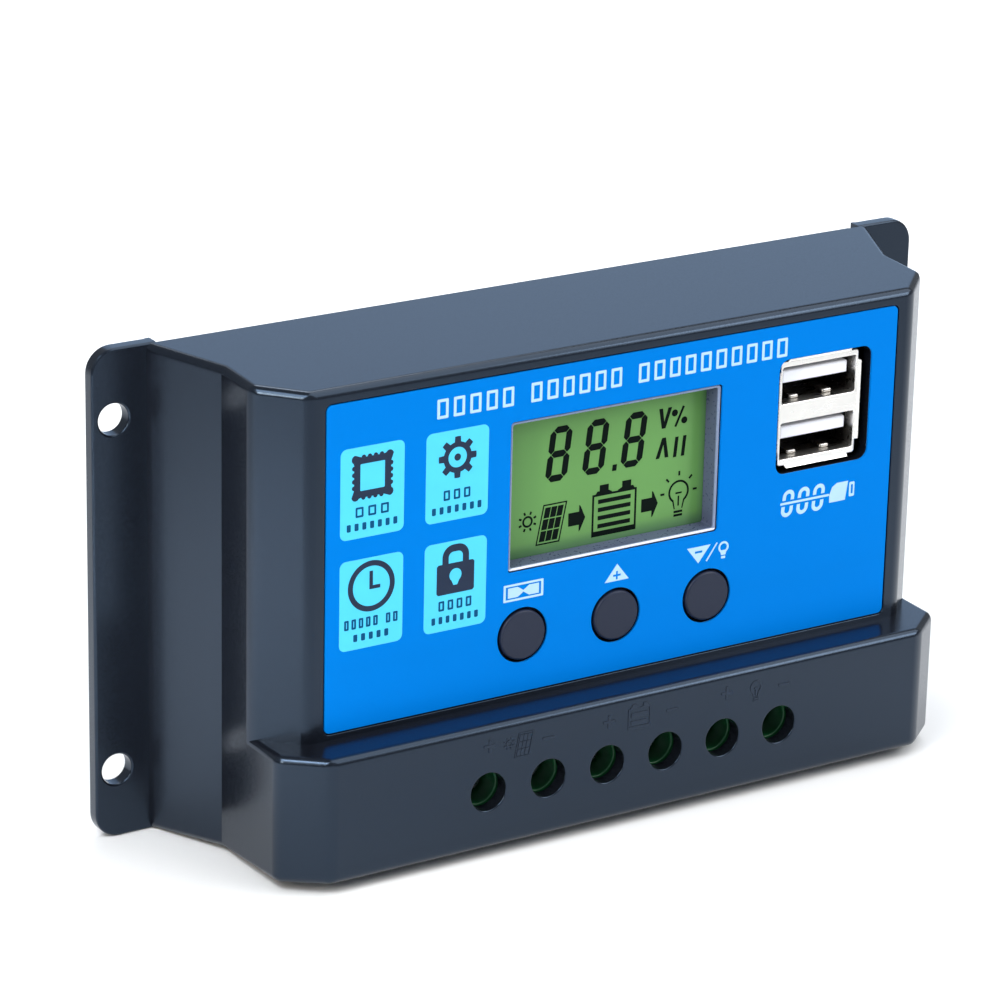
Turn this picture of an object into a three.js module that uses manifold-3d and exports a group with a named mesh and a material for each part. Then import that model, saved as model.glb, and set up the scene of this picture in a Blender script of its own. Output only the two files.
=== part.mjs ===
// Wall-mounted solar charge controller: a moulded front housing with fixing ears, a metal back
// plate, an LCD, three push buttons, a stacked pair of USB sockets and six screw terminals.
//
// Frame, in millimetres: +X to the right as seen from the front, +Y into the wall, +Z up.
// The origin is the centre of the rear face, in the plane of the wall.

import * as THREE from "three";
import { mergeVertices } from "three/addons/utils/BufferGeometryUtils.js";
import Module from "manifold-3d";

const wasm = await Module();
wasm.setup();

// ---------------------------------------------------------------- driving dimensions

// Outside of the housing
const EAR_HALF_WIDTH = 66.5; // to the outer edge of the fixing ears
const EAR_THICKNESS = 2.0;
const EAR_CORNER = 3.5;
const EAR_HOLE_RADIUS = 2.2;
const EAR_HOLE_X = 63.3;
const EAR_HOLE_Z = 24.9; // above and below the middle
const HALF_HEIGHT = 34.7; // at the wall
const DRAFT = 0.048; // how much the height drops on each side per millimetre forward
const FACE_Y = -27.0; // front face, which carries the label
const COVER_Y = -33.2; // raised terminal cover below it
const STEP_Z = -15.2; // top of the terminal cover
const WALL = 2.1;

// Plan outline of one side, from the front face back to the wall
const SIDE_HALF_WIDTH = 53.65; // of the straight stretch of the sides
const FACE_HALF_WIDTH = 48.05;
const CHAMFER_REAR = -21.4;
const COVER_HALF_WIDTH = 47.9;
const COVER_CHAMFER_REAR = -28.4;
const FLARE_FRONT = -13.65; // from here back the sides lean out to the ears
const FOOT_HALF_WIDTH = 58.6;

// Label and what shows through it
const LABEL = { x0: -45.55, x1: 45.55, z0: -14.25, z1: 31.33, corner: 0.8 };
const LABEL_THICKNESS = 0.3;
const LABEL_RECESS = 0.4;
const LCD_WINDOW = { x0: -17.5, x1: 16.4, z0: 3.2, z1: 24.5, corner: 0.5 };
const USB_WINDOW = { x0: 25.8, x1: 41.5, z0: 9.6, z1: 26.3, corner: 1.6 };
const BUTTON_X = [-15, 0, 15];
const BUTTON_Z = -6.0;
const BUTTON_HOLE_RADIUS = 3.97;

// Screw terminals
const TERMINAL_PITCH = 9.5;
const TERMINAL_Z = -24.75; // axis of every clamp screw
const TERMINAL_COUNT = 6;
const SCREW_HOLE_RADIUS = 2.72;
const CLAMP_TRAVEL = 4.2; // six turns of a 0.7 mm thread
const BAR_FRONT = -18.6; // front face of the fixed contact bars
const BAR_THICKNESS = 1.0;
const WIRE_GAP = 4.7; // behind the bar when the clamp is open

// Circuit board, and the fasteners that hold it and the back plate
const BOARD_FRONT = -10.6;
const BOARD_REAR = -9.0;
const BOARD_HALF_WIDTH = 49.5;
const BOARD_HALF_HEIGHT = 30.6;
const BOARD_SCREWS = [[-45.5, 26.5], [45.5, 26.5], [-45.5, -24], [45.5, -24]];
const PLATE_HALF_WIDTH = 56.7;
const PLATE_HALF_HEIGHT = 34.0;
const PLATE_THICKNESS = 1.7;
const PLATE_SCREWS = [[-52.6, 28.5], [52.6, 28.5], [-52.6, -28.5], [52.6, -28.5]];
const PILOT_RADIUS = 1.0;

const CLEARANCE = 0.3; // between neighbours that touch
const COARSE = 12; // sides of a small round
const FINE = 24; // sides of a round that shows

const terminalX = Array.from(
  { length: TERMINAL_COUNT },
  (_, i) => (i - (TERMINAL_COUNT - 1) / 2) * TERMINAL_PITCH,
);

// ---------------------------------------------------------------- solids and their joins

// A closed three.js geometry as a solid that can be joined and cut.
function solid(geometry) {
  const bare = geometry.clone();
  bare.deleteAttribute("normal");
  bare.deleteAttribute("uv");
  const merged = mergeVertices(bare, 1e-4);
  const vertProperties = new Float32Array(merged.attributes.position.array);
  const triVerts = new Uint32Array(merged.index.array);
  return new wasm.Manifold(new wasm.Mesh({ numProp: 3, vertProperties, triVerts }));
}

// The solid's surface as a three.js geometry with flat shading.
function geometryOf(manifold) {
  const { vertProperties, triVerts } = manifold.getMesh();
  const geometry = new THREE.BufferGeometry();
  geometry.setAttribute("position", new THREE.BufferAttribute(vertProperties, 3));
  geometry.setIndex(new THREE.BufferAttribute(triVerts, 1));
  const flat = geometry.toNonIndexed();
  flat.computeVertexNormals();
  return flat;
}

function join(first, ...others) {
  return others.reduce((sum, next) => sum.add(next), first);
}

function cut(first, ...others) {
  return others.reduce((rest, next) => rest.subtract(next), first);
}

function block(x0, x1, y0, y1, z0, z1) {
  const box = new THREE.BoxGeometry(x1 - x0, y1 - y0, z1 - z0);
  return solid(box.translate((x0 + x1) / 2, (y0 + y1) / 2, (z0 + z1) / 2));
}

// A block that is centred in X and Z.
function centredBlock(width, height, y0, y1) {
  return block(-width / 2, width / 2, y0, y1, -height / 2, height / 2);
}

// A round or tapered bar along Y, from y0 to y1.
function roundBar(x, z, radius, y0, y1, sides = COARSE, radiusAtY0 = radius) {
  const bar = new THREE.CylinderGeometry(radius, radiusAtY0, y1 - y0, sides);
  return solid(bar.translate(x, (y0 + y1) / 2, z));
}

// A plan outline, as [x, y] points, drawn up from z0 to z1.
function extrudePlan(points, z0, z1) {
  const shape = new THREE.Shape(points.map(([x, y]) => new THREE.Vector2(x, y)));
  const options = { depth: z1 - z0, bevelEnabled: false };
  return solid(new THREE.ExtrudeGeometry(shape, options).translate(0, 0, z0));
}

// A front outline, drawn in X and Z, that runs from y0 back to y1.
function extrudeFront(shape, y0, y1, curveSegments = 6) {
  const options = { depth: y1 - y0, bevelEnabled: false, curveSegments };
  const geometry = new THREE.ExtrudeGeometry(shape, options);
  return solid(geometry.rotateX(Math.PI / 2).translate(0, y1, 0));
}

// A side outline, as [y, z] points, that runs from x = -halfWidth to x = halfWidth.
function extrudeSide(points, halfWidth) {
  const shape = new THREE.Shape(points.map(([y, z]) => new THREE.Vector2(y, z)));
  const options = { depth: 2 * halfWidth, bevelEnabled: false };
  const geometry = new THREE.ExtrudeGeometry(shape, options).translate(0, 0, -halfWidth);
  const turn = new THREE.Matrix4().set(0, 0, 1, 0, 1, 0, 0, 0, 0, 1, 0, 0, 0, 0, 0, 1);
  return solid(geometry.applyMatrix4(turn));
}

function roundedRectangle({ x0, x1, z0, z1, corner }) {
  const shape = new THREE.Shape();
  shape.moveTo(x0 + corner, z0);
  shape.lineTo(x1 - corner, z0);
  shape.absarc(x1 - corner, z0 + corner, corner, -Math.PI / 2, 0);
  shape.lineTo(x1, z1 - corner);
  shape.absarc(x1 - corner, z1 - corner, corner, 0, Math.PI / 2);
  shape.lineTo(x0 + corner, z1);
  shape.absarc(x0 + corner, z1 - corner, corner, Math.PI / 2, Math.PI);
  shape.lineTo(x0, z0 + corner);
  shape.absarc(x0 + corner, z0 + corner, corner, Math.PI, 1.5 * Math.PI);
  return shape;
}

function grown({ x0, x1, z0, z1, corner }, by) {
  return { x0: x0 - by, x1: x1 + by, z0: z0 - by, z1: z1 + by, corner: corner + by };
}

// Moves every edge of a closed outline inwards; the points run anticlockwise.
function insetOutline(points, distance) {
  return points.map(([x, y], i) => {
    const [px, py] = points[(i + points.length - 1) % points.length];
    const [nx, ny] = points[(i + 1) % points.length];
    const before = new THREE.Vector2(x - px, y - py).normalize();
    const after = new THREE.Vector2(nx - x, ny - y).normalize();
    const normal = new THREE.Vector2(-before.y - after.y, before.x + after.x).normalize();
    const reach = distance / (normal.x * -before.y + normal.y * before.x);
    return [x + normal.x * reach, y + normal.y * reach];
  });
}

// ---------------------------------------------------------------- materials and placing

const finish = (color, roughness, metalness = 0) => ({ color, roughness, metalness });
const FINISHES = {
  housing: finish(0x2c3340, 0.42),
  label: finish(0x0489f5, 0.35),
  button: finish(0x3a3d4c, 0.45),
  lcd: finish(0x6d9f55, 0.15),
  lightGuide: finish(0xe8eedf, 0.3),
  lcdFrame: finish(0xd9dadb, 0.5),
  ribbon: finish(0xb4772c, 0.4),
  usbShell: finish(0xc8ccd2, 0.28, 1),
  usbInsulator: finish(0xdfe0ee, 0.45),
  terminal: finish(0x1d7a45, 0.5),
  steel: finish(0xb9bcc0, 0.35, 1),
  brass: finish(0xcfae66, 0.35, 1),
  board: finish(0x1c5a34, 0.45),
  epoxy: finish(0x17181a, 0.55),
  capacitor: finish(0x23262e, 0.4),
  ferrite: finish(0x3a3a3c, 0.7),
  thermalPad: finish(0x9aa6b5, 0.8),
  plate: finish(0x1d1f22, 0.45, 0.8),
};

const controller = new THREE.Group();

function place(name, manifold, finishName, position = [0, 0, 0], parent = controller) {
  const material = new THREE.MeshStandardMaterial(FINISHES[finishName]);
  const mesh = new THREE.Mesh(geometryOf(manifold), material);
  mesh.name = name;
  mesh.position.set(...position);
  parent.add(mesh);
}

// ---------------------------------------------------------------- housing

// One closed plan outline from a chamfered front to the wall, anticlockwise.
function planOutline(frontHalfWidth, frontY, chamferRear, rearY) {
  const right = [
    [frontHalfWidth, frontY],
    [SIDE_HALF_WIDTH, chamferRear],
    [SIDE_HALF_WIDTH, FLARE_FRONT],
    [FOOT_HALF_WIDTH, -EAR_THICKNESS],
    [FOOT_HALF_WIDTH, rearY],
  ];
  const left = right.map(([x, y]) => [-x, y]).reverse();
  return [...right, ...left];
}

// The upper body and the terminal cover, moved inwards by inset on every side.
function bodySolid(inset, rearY) {
  const tall = 2 * HALF_HEIGHT;
  const upper = planOutline(FACE_HALF_WIDTH, FACE_Y, CHAMFER_REAR, rearY);
  const cover = planOutline(COVER_HALF_WIDTH, COVER_Y, COVER_CHAMFER_REAR, rearY);
  const both = join(
    extrudePlan(insetOutline(upper, inset), -tall, tall),
    extrudePlan(insetOutline(cover, inset), -tall, STEP_Z - inset),
  );
  const rear = HALF_HEIGHT - inset;
  const front = rear + DRAFT * COVER_Y;
  const side = [
    [COVER_Y, -front],
    [rearY, -rear],
    [rearY, rear],
    [COVER_Y, front],
  ];
  return both.intersect(extrudeSide(side, EAR_HALF_WIDTH));
}

function earSolid(side) {
  const innerX = PLATE_HALF_WIDTH + CLEARANCE;
  const ear = new THREE.Shape();
  ear.moveTo(innerX, -HALF_HEIGHT);
  ear.lineTo(EAR_HALF_WIDTH - EAR_CORNER, -HALF_HEIGHT);
  ear.absarc(EAR_HALF_WIDTH - EAR_CORNER, EAR_CORNER - HALF_HEIGHT, EAR_CORNER, -Math.PI / 2, 0);
  ear.lineTo(EAR_HALF_WIDTH, HALF_HEIGHT - EAR_CORNER);
  ear.absarc(EAR_HALF_WIDTH - EAR_CORNER, HALF_HEIGHT - EAR_CORNER, EAR_CORNER, 0, Math.PI / 2);
  ear.lineTo(innerX, HALF_HEIGHT);
  const right = cut(
    extrudeFront(ear, -EAR_THICKNESS, 0),
    roundBar(EAR_HOLE_X, EAR_HOLE_Z, EAR_HOLE_RADIUS, -3, 1, FINE),
    roundBar(EAR_HOLE_X, -EAR_HOLE_Z, EAR_HOLE_RADIUS, -3, 1, FINE),
  );
  return side > 0 ? right : right.mirror([1, 0, 0]);
}

// Posts inside the front that the board and the back plate are screwed to.
function postSolids() {
  const boardPosts = BOARD_SCREWS.map(([x, z]) =>
    roundBar(x, z, 2.8, (z > 0 ? FACE_Y : COVER_Y) + WALL / 2, BOARD_FRONT - CLEARANCE),
  );
  const platePosts = PLATE_SCREWS.map(([x, z]) =>
    roundBar(x, z, 2.7, FLARE_FRONT, -PLATE_THICKNESS - CLEARANCE),
  );
  return join(...boardPosts, ...platePosts);
}

function pilotHoles() {
  const board = BOARD_SCREWS.map(([x, z]) =>
    roundBar(x, z, PILOT_RADIUS, BOARD_FRONT - 8, BOARD_FRONT + 1),
  );
  const plate = PLATE_SCREWS.map(([x, z]) => roundBar(x, z, PILOT_RADIUS, -9, 0));
  return join(...board, ...plate);
}

// Everything cut through the front face, the terminal cover and the bottom wall.
function frontCutouts() {
  const recessFloor = FACE_Y + LABEL_RECESS;
  const insideFace = FACE_Y + WALL + 1;
  const recess = roundedRectangle(grown(LABEL, 0.2));
  const wireFront = BAR_FRONT + 0.4;
  const wireRear = BAR_FRONT + BAR_THICKNESS + WIRE_GAP + 0.6;
  return join(
    extrudeFront(recess, FACE_Y - 1, recessFloor, 3),
    extrudeFront(roundedRectangle(LCD_WINDOW), FACE_Y - 1, insideFace, 3),
    extrudeFront(roundedRectangle(USB_WINDOW), FACE_Y - 1, insideFace),
    ...BUTTON_X.map((x) =>
      roundBar(x, BUTTON_Z, BUTTON_HOLE_RADIUS, FACE_Y - 1, insideFace, FINE),
    ),
    ...terminalX.map((x) =>
      roundBar(x, TERMINAL_Z, SCREW_HOLE_RADIUS, COVER_Y - 1, COVER_Y + WALL + 1, FINE),
    ),
    ...terminalX.map((x) => block(x - 3.2, x + 3.2, wireFront, wireRear, -HALF_HEIGHT - 1, -30)),
  );
}

function frontHousing() {
  const outer = bodySolid(0, 0);
  const shell = cut(outer, bodySolid(WALL, 2 * WALL));
  const posts = postSolids().intersect(outer);
  const plateX = PLATE_HALF_WIDTH + CLEARANCE;
  const plateSeat = block(-plateX, plateX, -PLATE_THICKNESS - CLEARANCE, 1, -40, 40);
  const whole = join(shell, posts, earSolid(1), earSolid(-1));
  return cut(whole, plateSeat, frontCutouts(), pilotHoles());
}

function frontLabel() {
  const front = FACE_Y + LABEL_RECESS - LABEL_THICKNESS - 0.05;
  const rear = front + LABEL_THICKNESS;
  const holes = [
    extrudeFront(roundedRectangle(LCD_WINDOW), front - 1, rear + 1, 3),
    extrudeFront(roundedRectangle(USB_WINDOW), front - 1, rear + 1),
    ...BUTTON_X.map((x) => roundBar(x, BUTTON_Z, BUTTON_HOLE_RADIUS, front - 1, rear + 1, FINE)),
  ];
  return cut(extrudeFront(roundedRectangle(LABEL), front, rear, 3), ...holes);
}

function backPlate() {
  const sheet = block(
    -PLATE_HALF_WIDTH,
    PLATE_HALF_WIDTH,
    -PLATE_THICKNESS,
    0,
    -PLATE_HALF_HEIGHT,
    PLATE_HALF_HEIGHT,
  );
  const holes = PLATE_SCREWS.flatMap(([x, z]) => [
    roundBar(x, z, 1.5, -3, 1),
    roundBar(x, z, 3.0, -1.4, 0.1, COARSE, 1.5),
  ]);
  return cut(sheet, ...holes);
}

// Cross recess of a screw head, opening towards +Y or -Y at the given depth.
function crossRecess(size, y0, y1) {
  return join(centredBlock(size, size / 5, y0, y1), centredBlock(size / 5, size, y0, y1));
}

// Countersunk screw of the back plate, with its head flush with the wall plane.
function plateScrew() {
  const head = roundBar(0, 0, 2.6, -1.35, -0.15, COARSE, 1.2);
  const shank = roundBar(0, 0, 0.85, -8, -1.2, COARSE);
  return cut(join(head, shank), crossRecess(2.6, -0.8, 0.5));
}

// Pan-head screw of the board, with its head on the rear of the board.
function boardScrew() {
  const head = roundBar(0, 0, 2.4, BOARD_REAR + 0.1, BOARD_REAR + 1.7, COARSE);
  const shank = roundBar(0, 0, 0.85, BOARD_FRONT - 7, BOARD_REAR + 0.2, COARSE);
  return cut(join(head, shank), crossRecess(2.6, BOARD_REAR + 0.9, BOARD_REAR + 2.5));
}

place("front_housing", frontHousing(), "housing");
place("front_label", frontLabel(), "label");
place("back_plate", backPlate(), "plate");
PLATE_SCREWS.forEach(([x, z], i) => {
  place(`back_screw_${i + 1}`, plateScrew(), "steel", [x, 0, z]);
});
BOARD_SCREWS.forEach(([x, z], i) => {
  place(`board_screw_${i + 1}`, boardScrew(), "steel", [x, 0, z]);
});

// ---------------------------------------------------------------- display

const display = new THREE.Group();
display.position.set(
  (LCD_WINDOW.x0 + LCD_WINDOW.x1) / 2,
  0,
  (LCD_WINDOW.z0 + LCD_WINDOW.z1) / 2,
);
controller.add(display);

const GLASS = { width: 38, height: 25.4, y0: -23.7, y1: -21.7 };
const GUIDE_REAR = -18.5;
const FRAME_WALL = 1.2;
const RIM_FRONT = -26.7; // of the thin rim that lines the display window
const RIM_WALL = 0.4;
const RIM_GAP = 0.15;

// Box that holds the cell and the light guide off the board, with a rim in the display window.
function displayFrame() {
  const innerWidth = GLASS.width + 2 * CLEARANCE;
  const innerHeight = GLASS.height + 2 * CLEARANCE;
  const rimWidth = LCD_WINDOW.x1 - LCD_WINDOW.x0 - 2 * RIM_GAP;
  const rimHeight = LCD_WINDOW.z1 - LCD_WINDOW.z0 - 2 * RIM_GAP;
  const viewWidth = rimWidth - 2 * RIM_WALL;
  const viewHeight = rimHeight - 2 * RIM_WALL;
  const y0 = FACE_Y + WALL + CLEARANCE / 2;
  const y1 = BOARD_FRONT - CLEARANCE;
  const pocketFront = GLASS.y0 - 0.2;
  const pocketRear = GUIDE_REAR + CLEARANCE;
  return cut(
    join(
      centredBlock(innerWidth + 2 * FRAME_WALL, innerHeight + 2 * FRAME_WALL, y0, y1),
      centredBlock(rimWidth, rimHeight, RIM_FRONT, y0 + 0.5),
    ),
    centredBlock(viewWidth, viewHeight, RIM_FRONT - 1, pocketFront + 0.1),
    centredBlock(innerWidth, innerHeight, pocketFront, pocketRear),
    centredBlock(innerWidth - 2, innerHeight - 2, pocketRear - 0.1, y1 + 1),
  );
}

function displayRibbon() {
  return block(-12, 12, GUIDE_REAR + 0.6, BOARD_FRONT - CLEARANCE, -11.2, -10.8);
}

place("lcd_frame", displayFrame(), "lcdFrame", [0, 0, 0], display);
place("lcd_glass", centredBlock(GLASS.width, GLASS.height, GLASS.y0, GLASS.y1), "lcd", [0, 0, 0], display);
place(
  "lcd_backlight",
  centredBlock(GLASS.width - 0.6, GLASS.height - 0.6, GLASS.y1 + 0.2, GUIDE_REAR),
  "lightGuide",
  [0, 0, 0],
  display,
);
place("lcd_ribbon", displayRibbon(), "ribbon", [0, 0, 0], display);

// ---------------------------------------------------------------- push buttons

const CAP_RADIUS = 3.55;
const CAP_FRONT = -27.2;
const FLANGE_RADIUS = 4.7;
const FLANGE_FRONT = FACE_Y + WALL + CLEARANCE;
const SWITCH_SIZE = 6;
const SWITCH_FRONT = -14.0;

function buttonCap() {
  const rounded = roundBar(0, 0, CAP_RADIUS, CAP_FRONT, CAP_FRONT + 0.3, FINE, CAP_RADIUS - 0.3);
  const stem = roundBar(0, 0, CAP_RADIUS, CAP_FRONT + 0.3, FLANGE_FRONT + 0.5, FINE);
  const flange = roundBar(0, 0, FLANGE_RADIUS, FLANGE_FRONT, FLANGE_FRONT + 1, FINE);
  return join(rounded, stem, flange);
}

// The post of the switch, which moves back into its body when the cap is pressed.
function switchPlunger() {
  return roundBar(0, 0, 1.7, FLANGE_FRONT + 1.2, SWITCH_FRONT + 0.6, COARSE);
}

function switchBody() {
  const body = centredBlock(SWITCH_SIZE, SWITCH_SIZE, SWITCH_FRONT, BOARD_FRONT - 0.1);
  return cut(body, roundBar(0, 0, 1.95, SWITCH_FRONT - 1, SWITCH_FRONT + 1.6, COARSE));
}

["left", "middle", "right"].forEach((side, i) => {
  const button = new THREE.Group();
  button.position.set(BUTTON_X[i], 0, BUTTON_Z);
  controller.add(button);
  place(`button_cap_${side}`, buttonCap(), "button", [0, 0, 0], button);
  place(`switch_plunger_${side}`, switchPlunger(), "button", [0, 0, 0], button);
  place(`tact_switch_${side}`, switchBody(), "epoxy", [0, 0, 0], button);
});

// ---------------------------------------------------------------- stacked USB sockets

const SOCKET = { x: 33.3, z: 18.1, width: 13.2, height: 15.2, wall: 0.4, front: -26.0 };
const SOCKET_REAR = BOARD_FRONT - 0.2;
const PORT_HEIGHT = 5.3;
const PORT_OFFSET = 4.05; // of each port from the middle of the stack
const TONGUE_DROP = 0.9; // from the top of a port to its tongue
const TONGUE = { width: 11.1, thickness: 1.8, front: -24.9 };
const DIVIDER_REAR = -14.2;

function usbShell() {
  const { width, height, wall, front } = SOCKET;
  const body = centredBlock(width, height, front, SOCKET_REAR);
  const portWidth = width - 2 * wall;
  const port = centredBlock(portWidth, PORT_HEIGHT, front - 1, SOCKET_REAR + 1);
  const rearRoom = centredBlock(portWidth, 2 * PORT_OFFSET, DIVIDER_REAR, SOCKET_REAR + 1);
  const ports = [PORT_OFFSET, -PORT_OFFSET].map((z) => port.translate([0, 0, z]));
  return cut(body, ...ports, rearRoom);
}

// One moulding: the rear block with the two tongues that carry the contacts.
function usbInsulator() {
  const height = 2 * PORT_OFFSET + PORT_HEIGHT - 2 * CLEARANCE;
  const width = SOCKET.width - 2 * SOCKET.wall - 2 * CLEARANCE;
  const rear = centredBlock(width, height, DIVIDER_REAR + CLEARANCE, SOCKET_REAR);
  const tongue = (z) => {
    const top = z + PORT_HEIGHT / 2 - TONGUE_DROP;
    return block(
      -TONGUE.width / 2,
      TONGUE.width / 2,
      TONGUE.front,
      DIVIDER_REAR + 1,
      top - TONGUE.thickness,
      top,
    );
  };
  return join(rear, tongue(PORT_OFFSET), tongue(-PORT_OFFSET));
}

const socket = new THREE.Group();
socket.position.set(SOCKET.x, 0, SOCKET.z);
controller.add(socket);
place("usb_shell", usbShell(), "usbShell", [0, 0, 0], socket);
place("usb_insulator", usbInsulator(), "usbInsulator", [0, 0, 0], socket);

// ---------------------------------------------------------------- screw terminals

const BLOCK_FRONT = COVER_Y + WALL + 0.5;
const BLOCK_REAR = BOARD_FRONT - CLEARANCE;
const BLOCK_BOTTOM = -30.9;
const BLOCK_TOP = -18.2;
const CELL_HALF_WIDTH = 3.5;
const CELL_TOP = -19.2;
const HEAD_FRONT = -27.6;
const HEAD_REAR = -25.6;
const SHANK_RADIUS = 1.9;
const CAGE = { width: 6.4, window: 4.8, z0: -28.0, z1: -21.5, top: 1.4, floor: 1.0 };
const CAGE_WINDOW_FRONT = BAR_FRONT - 0.2;
const CAGE_WINDOW_REAR = BAR_FRONT + BAR_THICKNESS + WIRE_GAP;
const LEG_Z = -20.0;

// The open space of one way, around the middle of its screw.
function terminalCell() {
  const cellFront = CAGE_WINDOW_FRONT - CAGE.top - CLAMP_TRAVEL - 0.2;
  const cellRear = CAGE_WINDOW_REAR + CAGE.floor + 0.2;
  return join(
    block(-CELL_HALF_WIDTH, CELL_HALF_WIDTH, cellFront, cellRear, BLOCK_BOTTOM - 1, CELL_TOP),
    roundBar(0, TERMINAL_Z, SHANK_RADIUS + 0.2, HEAD_REAR - 0.1, cellFront + 0.1, FINE),
    roundBar(0, TERMINAL_Z, 2.6, BLOCK_FRONT - 1, HEAD_REAR + 0.1, FINE),
    block(-0.9, 0.9, cellRear - 0.1, BLOCK_REAR + 1, LEG_Z - 0.7, LEG_Z + 0.7),
  );
}

function terminalBlock() {
  const half = TERMINAL_PITCH - CLEARANCE / 2;
  const body = block(-half, half, BLOCK_FRONT, BLOCK_REAR, BLOCK_BOTTOM, BLOCK_TOP);
  const cells = [-0.5, 0.5].map((side) => terminalCell().translate([side * TERMINAL_PITCH, 0, 0]));
  return cut(body, ...cells);
}

// Captive screw: it turns in the block and draws the clamp towards its head.
function terminalScrew() {
  const head = roundBar(0, 0, 2.35, HEAD_FRONT, HEAD_REAR, FINE);
  const shank = roundBar(0, 0, SHANK_RADIUS, HEAD_REAR - 0.1, BAR_FRONT - 0.3, FINE);
  return cut(join(head, shank), crossRecess(3.4, HEAD_FRONT - 1, HEAD_FRONT + 1.1));
}

// Rising clamp: a square brass loop whose front is threaded onto the screw.
function clampCage() {
  const y0 = CAGE_WINDOW_FRONT - CAGE.top;
  const y1 = CAGE_WINDOW_REAR + CAGE.floor;
  const z0 = CAGE.z0 - TERMINAL_Z;
  const z1 = CAGE.z1 - TERMINAL_Z;
  const outer = block(-CAGE.width / 2, CAGE.width / 2, y0, y1, z0, z1);
  const half = CAGE.window / 2;
  const window = block(-half, half, CAGE_WINDOW_FRONT, CAGE_WINDOW_REAR, z0 - 1, z1 + 1);
  return cut(outer, window, roundBar(0, 0, SHANK_RADIUS + 0.15, y0 - 1, CAGE_WINDOW_FRONT + 0.1, FINE));
}

// Fixed contact: a flat bar through the clamp, with a leg into the board.
function contactBar() {
  const rear = BAR_FRONT + BAR_THICKNESS;
  const flat = block(-2.2, 2.2, BAR_FRONT, rear, CAGE.z0 - 0.5, LEG_Z + 0.4);
  const leg = block(-0.6, 0.6, rear - 0.1, BOARD_REAR + 0.8, LEG_Z - 0.4, LEG_Z + 0.4);
  return join(flat, leg);
}

["panel", "battery", "load"].forEach((circuit, i) => {
  place(`terminal_block_${circuit}`, terminalBlock(), "terminal", [(i - 1) * 2 * TERMINAL_PITCH, 0, 0]);
});
terminalX.forEach((x, i) => {
  place(`terminal_screw_${i + 1}`, terminalScrew(), "steel", [x, 0, TERMINAL_Z]);
  place(`clamp_cage_${i + 1}`, clampCage(), "brass", [x, 0, TERMINAL_Z]);
  place(`contact_bar_${i + 1}`, contactBar(), "brass", [x, 0, 0]);
});

// ---------------------------------------------------------------- circuit board

const COMPONENT_FRONT_GAP = 0.1; // between the board and what is soldered to its front

function mainBoard() {
  const board = block(
    -BOARD_HALF_WIDTH,
    BOARD_HALF_WIDTH,
    BOARD_FRONT,
    BOARD_REAR,
    -BOARD_HALF_HEIGHT,
    BOARD_HALF_HEIGHT,
  );
  return cut(
    board,
    ...BOARD_SCREWS.map(([x, z]) => roundBar(x, z, 1.4, BOARD_FRONT - 1, BOARD_REAR + 1)),
    ...terminalX.map((x) =>
      block(x - 0.9, x + 0.9, BOARD_FRONT - 1, BOARD_REAR + 1, LEG_Z - 0.7, LEG_Z + 0.7),
    ),
  );
}

// A part of the given width and height (X and Z) that stands off the front of the board.
function boardPart(width, height, thickness) {
  const rear = BOARD_FRONT - COMPONENT_FRONT_GAP;
  return centredBlock(width, height, rear - thickness, rear);
}

function boardCan(radius, height) {
  const rear = BOARD_FRONT - COMPONENT_FRONT_GAP;
  return roundBar(0, 0, radius, rear - height, rear, FINE);
}

// Power transistor behind the board, with its metal tab towards the back plate.
function powerTransistor() {
  const tab = block(-5, 5, -3.8, -2.5, -4.6, 10.4);
  const body = block(-5, 5, -7.0, -3.7, -4.6, 4.6);
  const legs = [-2.54, 0, 2.54].map((x) =>
    join(
      block(x - 0.4, x + 0.4, -5.6, -5.1, -8.0, -4.5),
      block(x - 0.4, x + 0.4, BOARD_REAR + 0.1, -5.1, -8.0, -7.5),
    ),
  );
  return join(body, ...legs, cut(tab, roundBar(0, 7.6, 1.8, -5, -1)));
}

place("main_board", mainBoard(), "board");
place("microcontroller", boardPart(10, 10, 1.5), "epoxy", [0, 0, 14]);
place("usb_regulator", boardPart(5, 4, 1.6), "epoxy", [24, 0, -6]);
place("usb_inductor", boardCan(4.2, 5), "ferrite", [34, 0, -3]);
place("capacitor_input", boardCan(5, 12), "capacitor", [-34, 0, 14]);
place("capacitor_output", boardCan(5, 12), "capacitor", [-34, 0, 0]);
[-20, 0, 20].forEach((x, i) => {
  place(`power_transistor_${i + 1}`, powerTransistor(), "epoxy", [x, 0, 0]);
});
place("thermal_pad", block(-27, 27, -2.4, -1.8, -6, 12), "thermalPad");

export default controller;
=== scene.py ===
# Looks of the wall-mounted solar charge controller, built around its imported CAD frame.
# Shapes are drawn in millimetres and become metres when a piece is finished.
# +X is to the right as seen from the front, +Y goes into the wall and +Z is up.

import math

import bmesh
import bpy
from mathutils import Matrix, Vector


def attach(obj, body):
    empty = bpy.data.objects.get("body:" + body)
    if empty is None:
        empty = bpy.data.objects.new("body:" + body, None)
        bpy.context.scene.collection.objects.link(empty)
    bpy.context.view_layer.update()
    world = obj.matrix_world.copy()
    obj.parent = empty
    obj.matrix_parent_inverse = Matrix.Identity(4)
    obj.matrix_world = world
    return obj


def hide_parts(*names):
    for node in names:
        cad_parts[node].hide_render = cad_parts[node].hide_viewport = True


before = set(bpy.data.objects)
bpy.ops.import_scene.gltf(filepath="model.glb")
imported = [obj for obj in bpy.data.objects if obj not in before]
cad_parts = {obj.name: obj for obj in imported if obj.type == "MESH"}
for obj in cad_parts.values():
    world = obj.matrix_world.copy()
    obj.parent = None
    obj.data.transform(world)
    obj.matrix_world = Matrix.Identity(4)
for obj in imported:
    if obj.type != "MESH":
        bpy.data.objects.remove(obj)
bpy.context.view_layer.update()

# -------------------- dimensions, in millimetres

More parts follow.
